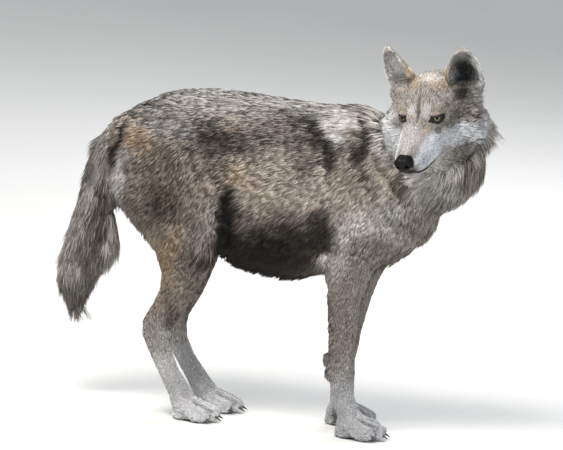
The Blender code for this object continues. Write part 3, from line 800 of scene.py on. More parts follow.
    Patch(H, (0.012, 0.043, -0.022), (0.012, 0.012, 0.008), "807c78", 0.40, 0.85, 20),
    Patch(H, (-0.022, 0.066, -0.026), (0.034, 0.025, 0.009), "7f7a72", 0.42, 0.85, 14),
    Patch(H, (-0.055, 0.078, 0.000), (0.034, 0.025, 0.018), "a59c91", 0.26, 0.8),
    # painted shade below the left ear's root
    Patch(H, (-0.083, 0.070, 0.014), (0.016, 0.011, 0.017), "33302e", 0.90, 0.92, 0, 0.8, side=1),
    Patch(H, (-0.040, 0.090, -0.078), (0.055, 0.045, 0.048), "cdcfd1", 0.08, 0.95),
    Patch(H, (-0.050, 0.084, -0.026), (0.036, 0.036, 0.018), "7c746a", 0.50, 0.9, 8, side=1),
    # painted shade under the jaw, and over the pale hair under the chin
    Patch(H, (-0.012, 0.074, -0.108), (0.056, 0.050, 0.024), "857e74", 0.45, 0.9, -10),
    Patch(H, (0.034, 0.000, -0.105), (0.080, 0.050, 0.030), "c9c6bf", 0.06, 0.95),
    Patch(H, (0.098, 0.000, -0.074), (0.018, 0.022, 0.010), "c9c8c8", 0.06, 0.8),
    Patch(H, (0.084, 0.030, -0.046), (0.026, 0.012, 0.012), "d2d4d8", 0.16, 0.8),
    Patch(H, (0.106, 0.008, -0.058), (0.018, 0.012, 0.007), "1c1a1b", 0.9, 0.95),
    # the ears: grey hair in the cup with a dark streak in the right one, pale rims, tan on the inner edge; in
    # the left ear, painted shade, grey and then black down its middle and at its root
    Patch(E, (0.010, 0.002, 0.050), (0.050, 0.032, 0.062), "cdcfd3", 0.10, 0.95, regions=LEAF),
    Patch(E, (0.010, 0.002, 0.050), (0.050, 0.026, 0.056), "efeeec", 0.05, 0.9, regions=LEAF, side=-1),
    Patch(E, (0.006, -0.012, 0.050), (0.050, 0.006, 0.055), "5a5857", 0.70, 0.8, 4, regions=LEAF, side=-1),
    # painted shade in the left ear's cup and in the pocket at its root
    Patch(E, (0.006, -0.010, 0.054), (0.050, 0.016, 0.046), "85827e", 0.40, 0.9, regions=LEAF, side=1),
    Patch(E, (0.006, 0.010, 0.036), (0.050, 0.017, 0.044), "262524", 0.90, 0.97, regions=LEAF, side=1),
    Patch(E, (0.000, 0.000, 0.002), (0.060, 0.015, 0.016), "2e2b2a", 0.90, 0.92, 0, 0.7, EAR_ROOT, 1),
    Patch(E, (0.000, -0.037, 0.045), (0.050, 0.010, 0.050), "a8947d", 0.12, 0.9, regions=LEAF),
    Patch(E, (0.000, 0.040, 0.035), (0.050, 0.009, 0.060), "d9d8d6", 0.06, 0.9, regions=LEAF),
    Patch(E, (0.000, 0.000, 0.103), (0.050, 0.030, 0.008), "dad6d1", 0.10, 0.9, regions=LEAF),
)


@dataclass
class Markings:
    """The coat's colours, with painted shade and painted highlights in some patches, shared by the skin and
    the tufts.
    """

    head: HeadFrame
    black: str = "15110e"

    def paint(
        self, points: np.ndarray, normals: np.ndarray, weights: np.ndarray
    ) -> tuple[np.ndarray, np.ndarray]:
        """Finds the light hair's colour and the share of black tips at each place.

        Args:
            points: places on the skin.
            normals: the skin's normals there.
            weights: how far each place belongs to each region, one column a region.

        Returns:
            Linear colours, and shares from 0 to 1.
        """
        light = weights @ np.array([linear(BASE[region][0]) for region in Region])
        dark = weights @ np.array([BASE[region][1] for region in Region])
        body = points - np.array([0, SPINE_Y, 0])
        local = self.head.local(points)
        wobble = np.stack([value_noise(points, 0.030, seed) for seed in (1, 2, 3)], axis=1)
        fine = np.stack([value_noise(points, 0.012, seed) for seed in (4, 5, 6)], axis=1)
        on_head = weights[:, Region.FACE.value] + weights[:, Region.EAR.value]
        facing = self.head.local_direction(normals)
        left = local[:, 1:2] > 0
        cup = in_nearer_ear(local, left)
        open_side = in_nearer_ear(facing, left, directions=True)[:, 0]
        for patch in PATCHES:
            place = {Frame.BODY: body, Frame.HEAD: local, Frame.EAR: cup}[patch.frame]
            reach = np.array(patch.reach)
            place = place + (wobble * 0.28 + fine * 0.16) * np.minimum(reach.mean(), 0.05)
            if patch.frame is not Frame.EAR:
                place = place * np.where(place[:, 1] < 0, -1, 1)[:, None] ** np.array([0, 1, 0])
            place = place - np.array(patch.centre)
            turn = math.radians(patch.slant)
            along = place[:, 0] * math.cos(turn) + place[:, 2] * math.sin(turn)
            rise = place[:, 2] * math.cos(turn) - place[:, 0] * math.sin(turn)
            away = np.sqrt((along / reach[0]) ** 2 + (place[:, 1] / reach[1]) ** 2 + (rise / reach[2]) ** 2)
            mask = patch.strength * (1 - step(1 - patch.edge, 1 + patch.edge, away))
            if patch.regions:
                mask = mask * np.clip(sum(weights[:, region.value] for region in patch.regions), 0, 1)
            elif patch.frame is Frame.HEAD:
                mask = mask * step(0.0, 0.6, on_head)
            if patch.frame is Frame.EAR:
                mask = mask * step(-0.1, 0.25, open_side)
            if patch.side:
                sideways = body[:, 1] if patch.frame is Frame.BODY else local[:, 1]
                mask = mask * (np.sign(sideways) == patch.side)
            light = light + (linear(patch.light) - light) * mask[:, None]
            dark = dark + (patch.dark - dark) * mask
        return light, np.clip(dark, 0, 1)


# ---------------------------------------------------------------- the lie of the coat


@dataclass
class Lie:
    """The direction in which the hair lies at each place of the skin."""

    head: HeadFrame

    def directions(self, points: np.ndarray, normals: np.ndarray, weights: np.ndarray) -> np.ndarray:
        """Mixes each region's own lie by how far a place belongs to it."""
        flow = np.zeros_like(points)
        for region in Region:
            share = weights[:, region.value]
            near = share > 0.001
            if near.any():
                flow[near] += unit(self.of_region(region, points[near], normals[near])) * share[near, None]
        return unit(along_surface(flow, normals))

    def of_region(self, region: Region, points: np.ndarray, normals: np.ndarray) -> np.ndarray:
        """The lie over one region."""
        side = np.sign(points[:, 1] - SPINE_Y)
        out = np.abs(normals[:, 1])
        x, z = points[:, 0], points[:, 2]
        flow = np.zeros_like(points)
        if region is Region.FACE:
            return self.of_head(points, normals)
        if region is Region.EAR:
            local = self.head.local(points)
            lean = np.column_stack([local[:, 0] * 0 - 0.1, np.sign(local[:, 1]) * 0.15, local[:, 0] * 0 + 1])
            return self.head.world_direction(lean)
        if region is Region.NECK:
            start = np.array(self.head.matrix @ Vector((-0.03, 0.0, 0.02)))
            front = step(0.0, 0.7, normals[:, 0])
            away = unit(points - start) * (0.35 + 0.25 * front)[:, None]
            return away + np.column_stack([-1 + 0.95 * front, front * 0, -0.45 - 1.2 * front])
        if region is Region.TRUNK:
            front = step(0.25, 0.8, normals[:, 0])
            rear = step(-0.24, -0.36, x) * step(0.1, 0.8, -normals[:, 0])
            under = step(0.2, 0.7, -normals[:, 2])
            flow[:, 0] = -1 + 1.1 * front + 0.7 * rear
            low = step(0.62, 0.42, z)
            over_shoulder = step(0.09, 0.22, x) * step(0.67, 0.56, z)
            steep = 0.26 + 0.62 * low + 1.0 * over_shoulder
            flow[:, 2] = -0.06 - steep * out * (1 - under) - 1.6 * front - 1.2 * rear - 0.1 * under
            flow[:, 1] = side * 0.05 * (1 - out)
            return flow
        if region is Region.TAIL:
            flow[:, 0] = np.interp(z, (0.20, 0.30, 0.45, 0.62), (0.12, -0.05, -0.20, -0.55))
            flow[:, 2] = -1
            return flow + normals * 0.1
        if region is Region.THIGH:
            behind = step(-0.17, -0.28, x) * step(0.36, 0.46, z)
            flow[:, 0] = -0.42 - 0.50 * behind + 0.17 * step(0.5, 0.35, z)
            flow[:, 2] = -1
            return flow
        if region is Region.SHOULDER:
            flow[:, 0] = -0.42
            flow[:, 2] = -1
            return flow
        if region is Region.FOREARM:
            rear = step(0.0, 0.9, -normals[:, 0])
            flow[:, 0] = -0.20 - 0.55 * rear
            flow[:, 2] = -1
            return flow
        if region is Region.SHANK:
            flow[:, 0] = -0.45
            flow[:, 2] = -1
            return flow
        if region is Region.HOCK:
            flow[:, 0] = 0.10
            flow[:, 2] = -1
            return flow
        ahead = step(0.10, 0.03, z)
        flow[:, 0] = 0.15 + 0.9 * ahead
        flow[:, 2] = -1 + 0.35 * ahead
        return flow

    def of_head(self, points: np.ndarray, normals: np.ndarray) -> np.ndarray:
        """From the nose back over the muzzle, up and outwards on the brow, down and back on the cheeks."""
        local = self.head.local(points)
        x, y, z = local.T
        muzzle = step(0.02, 0.06, x)
        cheek = step(-0.005, -0.045, z) * (1 - muzzle)
        crown = step(0.0, 0.03, z) * (1 - muzzle)
        flow = np.column_stack(
            [
                -1.0 + 0.1 * crown,
                y * 9 * (1 - muzzle * 0.7) + np.sign(y) * 0.35 * cheek,
                0.25 * crown - 0.75 * cheek - 0.25 * muzzle * step(-0.01, -0.05, z),
            ]
        )
        return self.head.world_direction(flow)


# ---------------------------------------------------------------- the skin


@dataclass
class Skin:
    """The whole hide: one closed surface inside the CAD's flesh by the coat's depth."""

    head: HeadFrame
    markings: Markings
    lie: Lie
    grid: float = 0.0024
    triangles: int = 185000
    cleft: float = 0.0095
    body: bpy.types.Object | None = None

    def build(self, nodes: dict) -> bpy.types.Object:
        """Makes the skin from copies of the CAD's flesh.

        Args:
            nodes: the CAD's objects by name.

        Returns:
            The skin.
        """
        names = [name for name in nodes if is_flesh(name)]
        bm = bmesh.new()
        labels = []
        for name in (*names, "eye_left", "eye_right"):
            before = len(bm.faces)
            bm.from_mesh(nodes[name].data)
            region = Region.FACE if name.startswith("eye") else region_of(name)
            labels += [region.value] * (len(bm.faces) - before)
        tree = BVHTree.FromBMesh(bm)
        bmesh.ops.remove_doubles(bm, verts=bm.verts, dist=1e-6)
        mesh = bpy.data.meshes.new("flesh")
        bm.to_mesh(mesh)
        bm.free()
        self.body = link_mesh("skin", mesh)
        self.remesh()
        mesh = self.body.data
        points = read_points(mesh)
        found = [labels[tree.find_nearest(Vector(point))[2]] for point in points]
        self.edges = np.empty(len(mesh.edges) * 2, dtype=np.int64)
        mesh.edges.foreach_get("vertices", self.edges)
        self.edges = self.edges.reshape(-1, 2)
        weights = np.zeros((len(points), len(Region)))
        weights[np.arange(len(points)), found] = 1
        self.weights = self.diffuse(weights, 24)
        sharp = weights[:, Region.EAR.value]
        self.smooth(points, np.where(sharp > 0, 0.15, 1.0))
        self.sink()
        self.sculpt()
        self.dress()
        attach(self.body, BODY)
        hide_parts(*names)
        return self.body

    def remesh(self) -> None:
        """Unites the pieces on a fine grid, keeps the one outer shell, and thins it where it is plain."""
        union = self.body.modifiers.new("union", "REMESH")
        union.mode, union.voxel_size = "VOXEL", self.grid
        finish_modifiers(self.body)
        bm = bmesh.new()
        bm.from_mesh(self.body.data)
        keep_largest_shell(bm)
        bmesh.ops.triangulate(bm, faces=bm.faces)
        count = len(bm.faces)
        bm.to_mesh(self.body.data)
        bm.free()
        points = read_points(self.body.data)
        local = self.head.local(points)
        near = np.linalg.norm(local - np.array([0.0, 0.0, -0.01]), axis=1)
        group = self.body.vertex_groups.new(name="plain")
        keep = (near < 0.150) | (points[:, 2] < 0.075)
        group.add(np.flatnonzero(~keep).tolist(), 1.0, "REPLACE")
        thin = self.body.modifiers.new("thin", "DECIMATE")
        thin.ratio = min(1.0, self.triangles / count)
        thin.vertex_group = group.name
        finish_modifiers(self.body)
        self.body.vertex_groups.clear()
        for reach in (0.030, 0.022):
            self.refine(reach)
        LOG.info("skin grid %d, thinned to %d triangles", count, len(self.body.data.polygons))

    def refine(self, reach: float) -> None:
        """Halves the grid within a reach of each eye."""
        bm = bmesh.new()
        bm.from_mesh(self.body.data)
        eyes = [self.head.matrix @ eye.frame().translation for eye in EYES]
        near = [
            edge
            for edge in bm.edges
            if any(all((vertex.co - eye).length < reach for vertex in edge.verts) for eye in eyes)
        ]
        bmesh.ops.subdivide_edges(bm, edges=near, cuts=1)
        bmesh.ops.triangulate(bm, faces=bm.faces)
        bm.to_mesh(self.body.data)
        bm.free()

    def diffuse(self, values: np.ndarray, passes: int, pull: float = 0.5) -> np.ndarray:
        """Evens out values over the surface, a neighbour at a time."""
        a, b = self.edges.T
        count = len(values)
        flat = values.reshape(count, -1).astype(float)
        degree = np.bincount(a, minlength=count) + np.bincount(b, minlength=count)
        for _ in range(passes):
            total = np.empty_like(flat)
            for column, value in enumerate(flat.T):
                total[:, column] = np.bincount(a, value[b], count) + np.bincount(b, value[a], count)
            flat = flat + pull * (total / degree[:, None] - flat)
        return flat.reshape(values.shape)

    def smooth(self, points: np.ndarray, share: np.ndarray) -> None:
        """Rounds off the facets without shrinking the limbs."""
        share = self.diffuse(share, 4)[:, None]
        for _ in range(14):
            points = points + share * (self.diffuse(points, 1, 0.6) - points)
            points = points + share * (self.diffuse(points, 1, -0.615) - points)
        write_points(self.body.data, points)

    def sink(self) -> None:
        """Moves the skin inside the coat's outline by the coat's depth."""
        mesh = self.body.data
        points, normals = read_points(mesh), unit(self.diffuse(read_normals(mesh), 6))
        self.depth = self.weights @ np.array([PELAGE[region].depth for region in Region]) * MM
        self.depth *= self.head_factor(points, 1.0, 1.0, 4.5)
        write_points(mesh, points - normals * self.depth[:, None])

    def head_factor(self, points: np.ndarray, muzzle: float, brow: float, cheek: float) -> np.ndarray:
        """How much longer the hair is from place to place on the head, and 1 elsewhere."""
        x, y, z = self.head.local(points).T
        y = np.abs(y)
        on = self.weights[:, Region.FACE.value]
        ruff = step(0.062, 0.105, y + np.maximum(-x, 0) * 0.25) * step(0.02, -0.03, z)
        throat = step(0.03, -0.06, x) * step(-0.075, -0.11, z)
        value = brow + (cheek - brow) * np.maximum(ruff, throat)
        value = value + (muzzle - value) * step(0.015, 0.05, x)
        return 1 + (value - 1) * on

    def sculpt(self) -> None:
        """Lowers the jowls, cuts the mouth's line and the toes' clefts, and draws the lids over the eyes."""
        mesh = self.body.data
        points, normals = read_points(mesh), read_normals(mesh)
        local = self.head.local(points)
        x, y, z = local.T
        jowl = step(-0.035, -0.060, z) * step(0.0, 0.03, x) * (1 - step(0.095, 0.120, x))
        points = points + self.head.world_direction(np.array([[0.0, 0.0, -0.005]])) * jowl[:, None]
        groove = MOUTH.nearness(self.head.local(points)) * 0.0024
        clefts = np.max([toes.nearness(points) for toes in TOES], axis=0) * self.cleft
        points = points - normals * (groove + clefts)[:, None]
        for eye in EYES:
            points = eye.fit_skin(self.head, points)
        write_points(mesh, points)

    def dress(self) -> None:
        """Stores the surface's own fields and colours, and gives it its finish."""
        mesh = self.body.data
        self.points = read_points(mesh)
        self.normals = unit(self.diffuse(read_normals(mesh), 2))
        flow = self.lie.directions(self.points, self.normals, self.weights)
        flow = self.diffuse(flow, 10)
        self.flow = unit(along_surface(flow, self.normals))
        reach = self.weights @ np.array([PELAGE[region].length for region in Region]) * MM
        reach *= self.head_factor(self.points, *FACE_GROWTH)
        seen = self.points + self.flow * (SHOWING * reach)[:, None] + self.normals * self.depth[:, None]
        self.light, self.dark = self.markings.paint(seen, self.normals, self.weights)
        self.bare = self.bareness()
        local = self.head.local(self.points)
        ink = np.max([MOUTH.nearness(local, 1.15), *(eye.nearness(local, 1.35) for eye in EYES)], axis=0)
        self.light = self.light + (linear("1b1817") - self.light) * ink[:, None]
        clefts = np.max([toes.nearness(self.points) for toes in TOES], axis=0)
        # painted shade in the clefts between the toes
        self.light = self.light + (linear("3a3633") - self.light) * 0.92 * clefts[:, None]
        self.dark = np.clip(self.dark + 0.6 * clefts, 0, 1)
        # the 0.62 is painted shade: the skin lies deep under the hair
        colour = self.light * (1 - 0.75 * self.dark[:, None]) * 0.62
        colour += (linear("1b1715") - colour) * self.bare[:, None]
        write_attribute(mesh, "coat", colour)
        write_attribute(mesh, "bare", self.bare)
        mesh.polygons.foreach_set("use_smooth", [True] * len(mesh.polygons))
        mesh.materials.clear()
        mesh.materials.append(Underfur().material())
        self.corners = np.empty(len(mesh.polygons) * 3, dtype=np.int64)
        mesh.loops.foreach_get("vertex_index", self.corners)
        self.corners = self.corners.reshape(-1, 3)
        a, b, c = (self.points[self.corners[:, k]] for k in range(3))
        self.areas = np.linalg.norm(np.cross(b - a, c - a), axis=1) / 2

    def bareness(self) -> np.ndarray:
        """Where the skin grows no hair: the lips, the lids' edges, the nose's rim and the soles."""
        local = self.head.local(self.points)
        bare = MOUTH.nearness(local)
        for eye in EYES:
            bare = np.maximum(bare, eye.nearness(local))
        bare = np.maximum(bare, 1 - step(0.9, 1.15, self.nose_distance(local)))
        sole = step(0.006, 0.002, self.points[:, 2])
        return np.clip(np.maximum(bare, sole), 0, 1)

    @staticmethod
    def nose_distance(local: np.ndarray) -> np.ndarray:
        """How far places of the head's frame are from the nose pad's middle, in pads."""
        middle, radii = np.array([0.113, 0, -0.032]), np.array([0.014, 0.019, 0.015])
        return np.linalg.norm((local - middle) / radii, axis=1)


def keep_largest_shell(bm: bmesh.types.BMesh) -> None:
    """Deletes every shell but the one with the most vertices."""
    bm.verts.ensure_lookup_table()
    seen = bytearray(len(bm.verts))
    shells = []
    for first in bm.verts:
        if seen[first.index]:
            continue
        seen[first.index] = 1
        shell, front = [first], [first]
        while front:
            vertex = front.pop()
            for edge in vertex.link_edges:
                other = edge.other_vert(vertex)
                if not seen[other.index]:
                    seen[other.index] = 1
                    shell.append(other)
                    front.append(other)
        shells.append(shell)
    shells.sort(key=len)
    for shell in shells[:-1]:
        bmesh.ops.delete(bm, geom=shell, context="VERTS")


# ---------------------------------------------------------------- toes, mouth, eyes, nose and claws


@dataclass(frozen=True)
class Mouth:
    """The closed mouth's line, in the head's frame, for one side and mirrored."""

    path: tuple[tuple[float, float, float], ...] = (
        (0.123, 0.000, -0.048),
        (0.119, 0.000, -0.056),
        (0.108, 0.021, -0.0600),
        (0.095, 0.029, -0.0655),
        (0.080, 0.034, -0.0695),
        (0.066, 0.038, -0.0725),
        (0.053, 0.042, -0.0750),
        (0.042, 0.045, -0.0755),
    )
    flatten: tuple[float, float, float] = (1.0, 0.4, 1.0)
    width: float = 0.0030
    corner: float = 0.7

    def nearness(self, local: np.ndarray, spread: float = 1.0) -> np.ndarray:
        """1 on the line, falling to 0 at its edge, or at a spread of it."""
        scale = np.array(self.flatten)
        mirrored = np.column_stack([local[:, 0], np.abs(local[:, 1]), local[:, 2]]) * scale
        away = np.full(len(local), 1.0)
        for first, last in zip(self.path, self.path[1:]):
            first, last = np.array(first) * scale, np.array(last) * scale
            run = last - first
            share = np.clip((mirrored - first) @ run / (run @ run), 0, 1)
            away = np.minimum(away, np.linalg.norm(mirrored - first - share[:, None] * run, axis=1))
        away /= 1 + self.corner * step(0.090, 0.062, local[:, 0])
        return 1 - step(self.width * 0.6, self.width * 1.5 * spread, away)


MOUTH = Mouth()


@dataclass(frozen=True)
class Toes:
    """The clefts between the toes of one foot, found from the CAD's claws."""

    foot: str
    run: float = 0.056
    width: float = 0.0062

    def nearness(self, points: np.ndarray) -> np.ndarray:
        """1 along a cleft, 0 beyond its sides and its ends."""
        claws = [middle_of(f"{self.foot}_claw_{number}") for number in (1, 2, 3, 4)]
        claws.sort(key=lambda claw: claw.y)
        near = np.zeros(len(points))
        for one, other in zip(claws, claws[1:]):
            middle = (one + other) / 2
            behind = middle.x - points[:, 0]
            along = step(self.run, self.run * 0.3, behind) * step(-0.030, -0.012, behind)
            side = 1 - step(self.width * 0.15, self.width, np.abs(points[:, 1] - middle.y))
            near = np.maximum(near, side * along * step(0.060, 0.045, points[:, 2]))
        return near


FEET = ("foreleg_left", "foreleg_right", "hindleg_left", "hindleg_right")
TOES = tuple(Toes(foot) for foot in FEET)


@dataclass(frozen=True)
class Eye:
    """One eye: its ball, its almond opening and the black rim round it. Sizes are in the ball's radius."""

    side: int
    radius: float = 0.0116
    place: tuple[float, float, float] = (-0.0060, 0.0370, -0.0010)
    look: tuple[float, float, float] = (0.78, 0.48, 0.42)
    axis: tuple[float, float, float] = (0.84, 0.38, 0.40)
    slit: tuple[float, float] = (0.80, 0.39)
    drop: float = 0.16
    slope: float = 2.0
    lid: float = 1.10
    hollow: float = 0.86

    @property
    def name(self) -> str:
        """Left or right."""
        return "left" if self.side > 0 else "right"

    def frame(self, direction: tuple[float, float, float] | None = None) -> Matrix:
        """The eye's frame in the head's: X out of the slit or along a direction, Y outwards, Z up."""
        x, y, z = direction or self.axis
        ahead = Vector((x, y * self.side, z)).normalized()
        outer = Vector((-ahead.y * self.side, ahead.x * self.side, 0)).normalized()
        up = Vector((0, 0, 1))
        up = (up - ahead * up.dot(ahead)).normalized()
        outer = (outer - ahead * outer.dot(ahead)).normalized()
        turn = math.radians(self.slope)
        outer, up = outer * math.cos(turn) + up * math.sin(turn), up * math.cos(turn) - outer * math.sin(turn)
        place = Vector((self.place[0], self.place[1] * self.side, self.place[2]))
        return Matrix.Translation(place) @ Matrix((ahead, outer, up)).transposed().to_4x4()

    def local(self, head_local: np.ndarray) -> np.ndarray:
        """Places of the head's frame in the eye's, in radii."""
        matrix = self.frame()
        return (head_local - np.array(matrix.translation)) @ np.array(matrix.to_3x3()) / self.radius

    def opening(self, across: np.ndarray, rise: np.ndarray) -> np.ndarray:
        """1 on the edge of the almond opening, less inside it and more outside."""
        return (np.abs(across) / self.slit[0]) ** 1.7 + (np.abs(rise + self.drop) / self.slit[1]) ** 1.5

    def nearness(self, head_local: np.ndarray, spread: float = 1.0) -> np.ndarray:
        """1 over the opening, its rim and the drawn-out corners, 0 beyond, and more widely with a spread."""
        flat = self.local(head_local)
        rim = self.opening(flat[:, 1] / (1.30 * spread), flat[:, 2] / (1.60 * spread))
        bare = 1 - step(0.9, 1.2, rim)
        for start, end, wide in (((-0.80, -0.16), (-1.60, -0.40), 0.42), ((0.75, -0.06), (1.80, 0.10), 0.32)):
            start, run = np.array(start), np.array(end) - np.array(start)
            share = np.clip((flat[:, 1:] - start) @ run / (run @ run), 0, 1)
            away = np.linalg.norm(flat[:, 1:] - start - share[:, None] * run, axis=1)
            bare = np.maximum(bare, 1 - step(0.7, 1.3, away / (wide * spread * (1.25 - 0.85 * share))))
        return bare * (flat[:, 0] > -0.6) * (np.abs(flat).max(axis=1) < 2.2)

    def fit_skin(self, head: HeadFrame, points: np.ndarray) -> np.ndarray:
        """Draws the skin over the ball as two lids and opens it at the slit.

        Args:
            head: the head's frame.
            points: the skin's vertices.

        Returns:
            The vertices moved.
        """
        place = head.matrix @ self.frame()
        turn = np.array(place.to_3x3())
        flat = (points - np.array(place.translation)) @ turn / self.radius
        away = np.linalg.norm(flat, axis=1)
        share = self.opening(flat[:, 1], flat[:, 2])
        near = (flat[:, 0] > -0.3) & (away < 1.9)
        brow = self.lid + 0.10 * step(0.1, 0.7, flat[:, 2])
        wanted = np.maximum(away, brow)
        opened = wanted + (self.hollow - wanted) * (1 - step(0.80, 1.15, share))
        wanted = np.where(flat[:, 0] > 0, opened, wanted)
        moved = flat * (wanted / np.maximum(away, 1e-6))[:, None]
        flat = np.where(near[:, None], moved, flat)
        return flat * self.radius @ turn.T + np.array(place.translation)

    def build(self, head: HeadFrame) -> None:
        """Makes the ball and its lids."""
        place = head.matrix @ self.frame(self.look)
        bm = bmesh.new()
        turn = Matrix.Rotation(math.pi / 2, 4, "Y")
        bmesh.ops.create_uvsphere(bm, u_segments=48, v_segments=32, radius=self.radius, matrix=turn)
        gaze, spoke = [], []
        for vertex in bm.verts:
            angle = math.acos(max(-1, min(1, vertex.co.x / self.radius)))
            gaze.append(angle / (math.pi / 2))
            spoke.append(math.atan2(vertex.co.z, vertex.co.y))
            bulge = max(0.0, 1 - (angle / 0.72) ** 2)
            vertex.co *= 1 + 0.05 * bulge
        bm.transform(place)
        ball = from_bmesh(f"eyeball_{self.name}", bm, WetEye(name=f"wet_eye_{self.name}").material())
        write_attribute(ball.data, "gaze", np.array(gaze))
        write_attribute(ball.data, "spoke", np.array(spoke))
        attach(ball, BODY)
        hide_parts(f"eye_{self.name}")
        self.build_lids(head.matrix @ self.frame())

    def build_lids(self, place: Matrix) -> None:
        """The two lids as one soft black band: from the ball, over a rounded edge, and down into the skin."""
        bm = bmesh.new()
        # how far out from the opening and how high off the ball, each from the inner edge outwards
        wides = (0.98, 1.00, 1.04, 1.12, 1.24, 1.36, 1.48)
        highs = (0.97, 1.060, 1.125, 1.150, 1.140, 1.08, 0.92)
        count = 56
        bmesh.ops.create_circle(bm, segments=count, radius=1.0)
        bm.verts.ensure_lookup_table()
        ring = list(bm.verts)
        edges = list(bm.edges)
        angles = [2 * math.pi * k / count for k in range(count)]
        for number, (wide, high) in enumerate(zip(wides, highs)):
            if number:
                made = bmesh.ops.extrude_edge_only(bm, edges=edges)["geom"]
                fresh = [item for item in made if isinstance(item, bmesh.types.BMVert)]
                edges = [
                    item
                    for item in made
                    if isinstance(item, bmesh.types.BMEdge) and all(vertex in fresh for vertex in item.verts)
                ]
                old = {vertex: k for k, vertex in enumerate(ring)}
                order = [None] * count
                for vertex in fresh:
                    around = (edge.other_vert(vertex) for edge in vertex.link_edges)
                    source = next(other for other in around if other in old)
                    order[old[source]] = vertex
                ring = order
            for vertex, angle in zip(ring, angles):
                vertex.co = self.lid_point(angle, wide, high)
        bm.transform(place)
        bmesh.ops.recalc_face_normals(bm, faces=bm.faces)
        finish = Leather(
            name=f"lid_leather_{self.name}",
            colour="0e0c0b",
            pale="241f1c",
            pebble=0.0011,
            roughness=0.42,
            relief=0.0002,
            damp=0.35,
        )
        lids = from_bmesh(f"eyelids_{self.name}", bm, finish.material())
        thick = lids.modifiers.new("round", "SUBSURF")
        thick.levels = thick.render_levels = 1
        finish_modifiers(lids)
        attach(lids, BODY)

    def lid_point(self, angle: float, wide: float, high: float) -> Vector:
        """A point of the lids' band: its angle round the opening, how far out, and how high off the ball."""
        c, s = math.cos(angle), math.sin(angle)
        reach = (abs(c) ** 1.7 + abs(s) ** 1.5) ** -0.6
        across = self.slit[0] * reach * c * (1 + (wide - 1) * 0.8)
        rise = self.slit[1] * reach * s * (1 + (wide - 1) * 2.2)
        rise -= self.drop
        flat = min(across * across + rise * rise, 0.93)
        ahead = math.sqrt(1 - flat) * high
        return Vector((ahead, across * (0.6 + 0.4 * high), rise)) * self.radius


EYES = (Eye(1), Eye(-1, look=(0.935, 0.063, 0.349)))


@dataclass
class NosePad:
    """The nose: a pebbled pad with two comma nostrils and a groove down its front."""

    size: tuple[float, float, float] = (0.0165, 0.0195, 0.0150)
    middle: tuple[float, float, float] = (0.1155, -0.0010, -0.0315)

    def build(self, head: HeadFrame) -> None:
        """Shapes the pad in the head's frame and puts it in place."""
        bm = bmesh.new()
        bmesh.ops.create_cube(bm, size=2.0)
        bmesh.ops.subdivide_edges(bm, edges=bm.edges, cuts=31, use_grid_fill=True)
        for vertex in bm.verts:
            vertex.co = self.shape(vertex.co)
        bmesh.ops.smooth_vert(
            bm, verts=bm.verts, factor=0.5, use_axis_x=True, use_axis_y=True, use_axis_z=True
        )
        bm.transform(head.matrix @ Matrix.Translation(self.middle))
        finish = Leather(
            name="nose_leather",
            colour="020202",
            pale="050506",
            pebble=0.0013,
            roughness=0.58,
            relief=0.0002,
            damp=0.10,
        )
        pad = from_bmesh("nose_pad", bm, finish.material())
        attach(pad, BODY)
        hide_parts("nose")

    def shape(self, point: Vector) -> Vector:
        """Turns a point of a cube into one of the pad."""
        x, y, z = point
        ball = point.normalized()
        round_off = sum(abs(value) ** 2.7 for value in ball) ** (-1 / 2.7)
        x, y, z = ball * round_off
        narrow = 1 - 0.30 * max(0.0, -z) ** 1.2 - 0.10 * max(0.0, z) ** 2
        y *= narrow
        ahead = max(0.0, x)
        dent = math.exp(-((y / 0.10) ** 2)) * ahead * 0.16 * (1 if z < 0.2 else max(0.0, 1 - (z - 0.2) * 2.5))
        side = abs(y)
        hole_y, hole_z = side - 0.50, z + 0.02
        turned_y = hole_y * 0.82 + hole_z * 0.57
        turned_z = hole_z * 0.82 - hole_y * 0.57
        hole = math.exp(-((turned_y / 0.24) ** 2 + (turned_z / 0.15) ** 2) ** 1.4) * ahead * 0.75
        slot = math.exp(-(((side - 0.80) / 0.24) ** 2 + ((z + 0.14) / 0.09) ** 2)) * 0.30
        x -= dent + hole + slot * ahead
        z += 0.10 * math.exp(-(((side - 0.42) / 0.30) ** 2)) * max(0.0, z)
        y -= math.copysign(slot * 0.5 * (1 - ahead * 0.5), y)
        wing = math.exp(-(((side - 0.62) / 0.3) ** 2 + ((z - 0.22) / 0.3) ** 2)) * 0.08
        x += wing * ahead
        return Vector((x * self.size[0], y * self.size[1], z * self.size[2]))


@dataclass
class Claws:
    """The claws of one foot, rounded from the CAD's own solids."""

    foot: str

    def build(self, nodes: dict, material: bpy.types.Material) -> None:
        """Joins the foot's claws in one piece and rounds them."""
        names = [name for name in nodes if name.startswith(self.foot) and "claw" in name]
        bm = bmesh.new()
        for name in names:
            bm.from_mesh(nodes[name].data)
        bmesh.ops.remove_doubles(bm, verts=bm.verts, dist=1e-6)
        bmesh.ops.recalc_face_normals(bm, faces=bm.faces)
        claws = from_bmesh(f"claws_{self.foot}", bm, material)
        rounder = claws.modifiers.new("round", "SUBSURF")
        rounder.levels = rounder.render_levels = 2
        finish_modifiers(claws)
        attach(claws, BODY)
        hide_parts(*names)


# ---------------------------------------------------------------- the coat


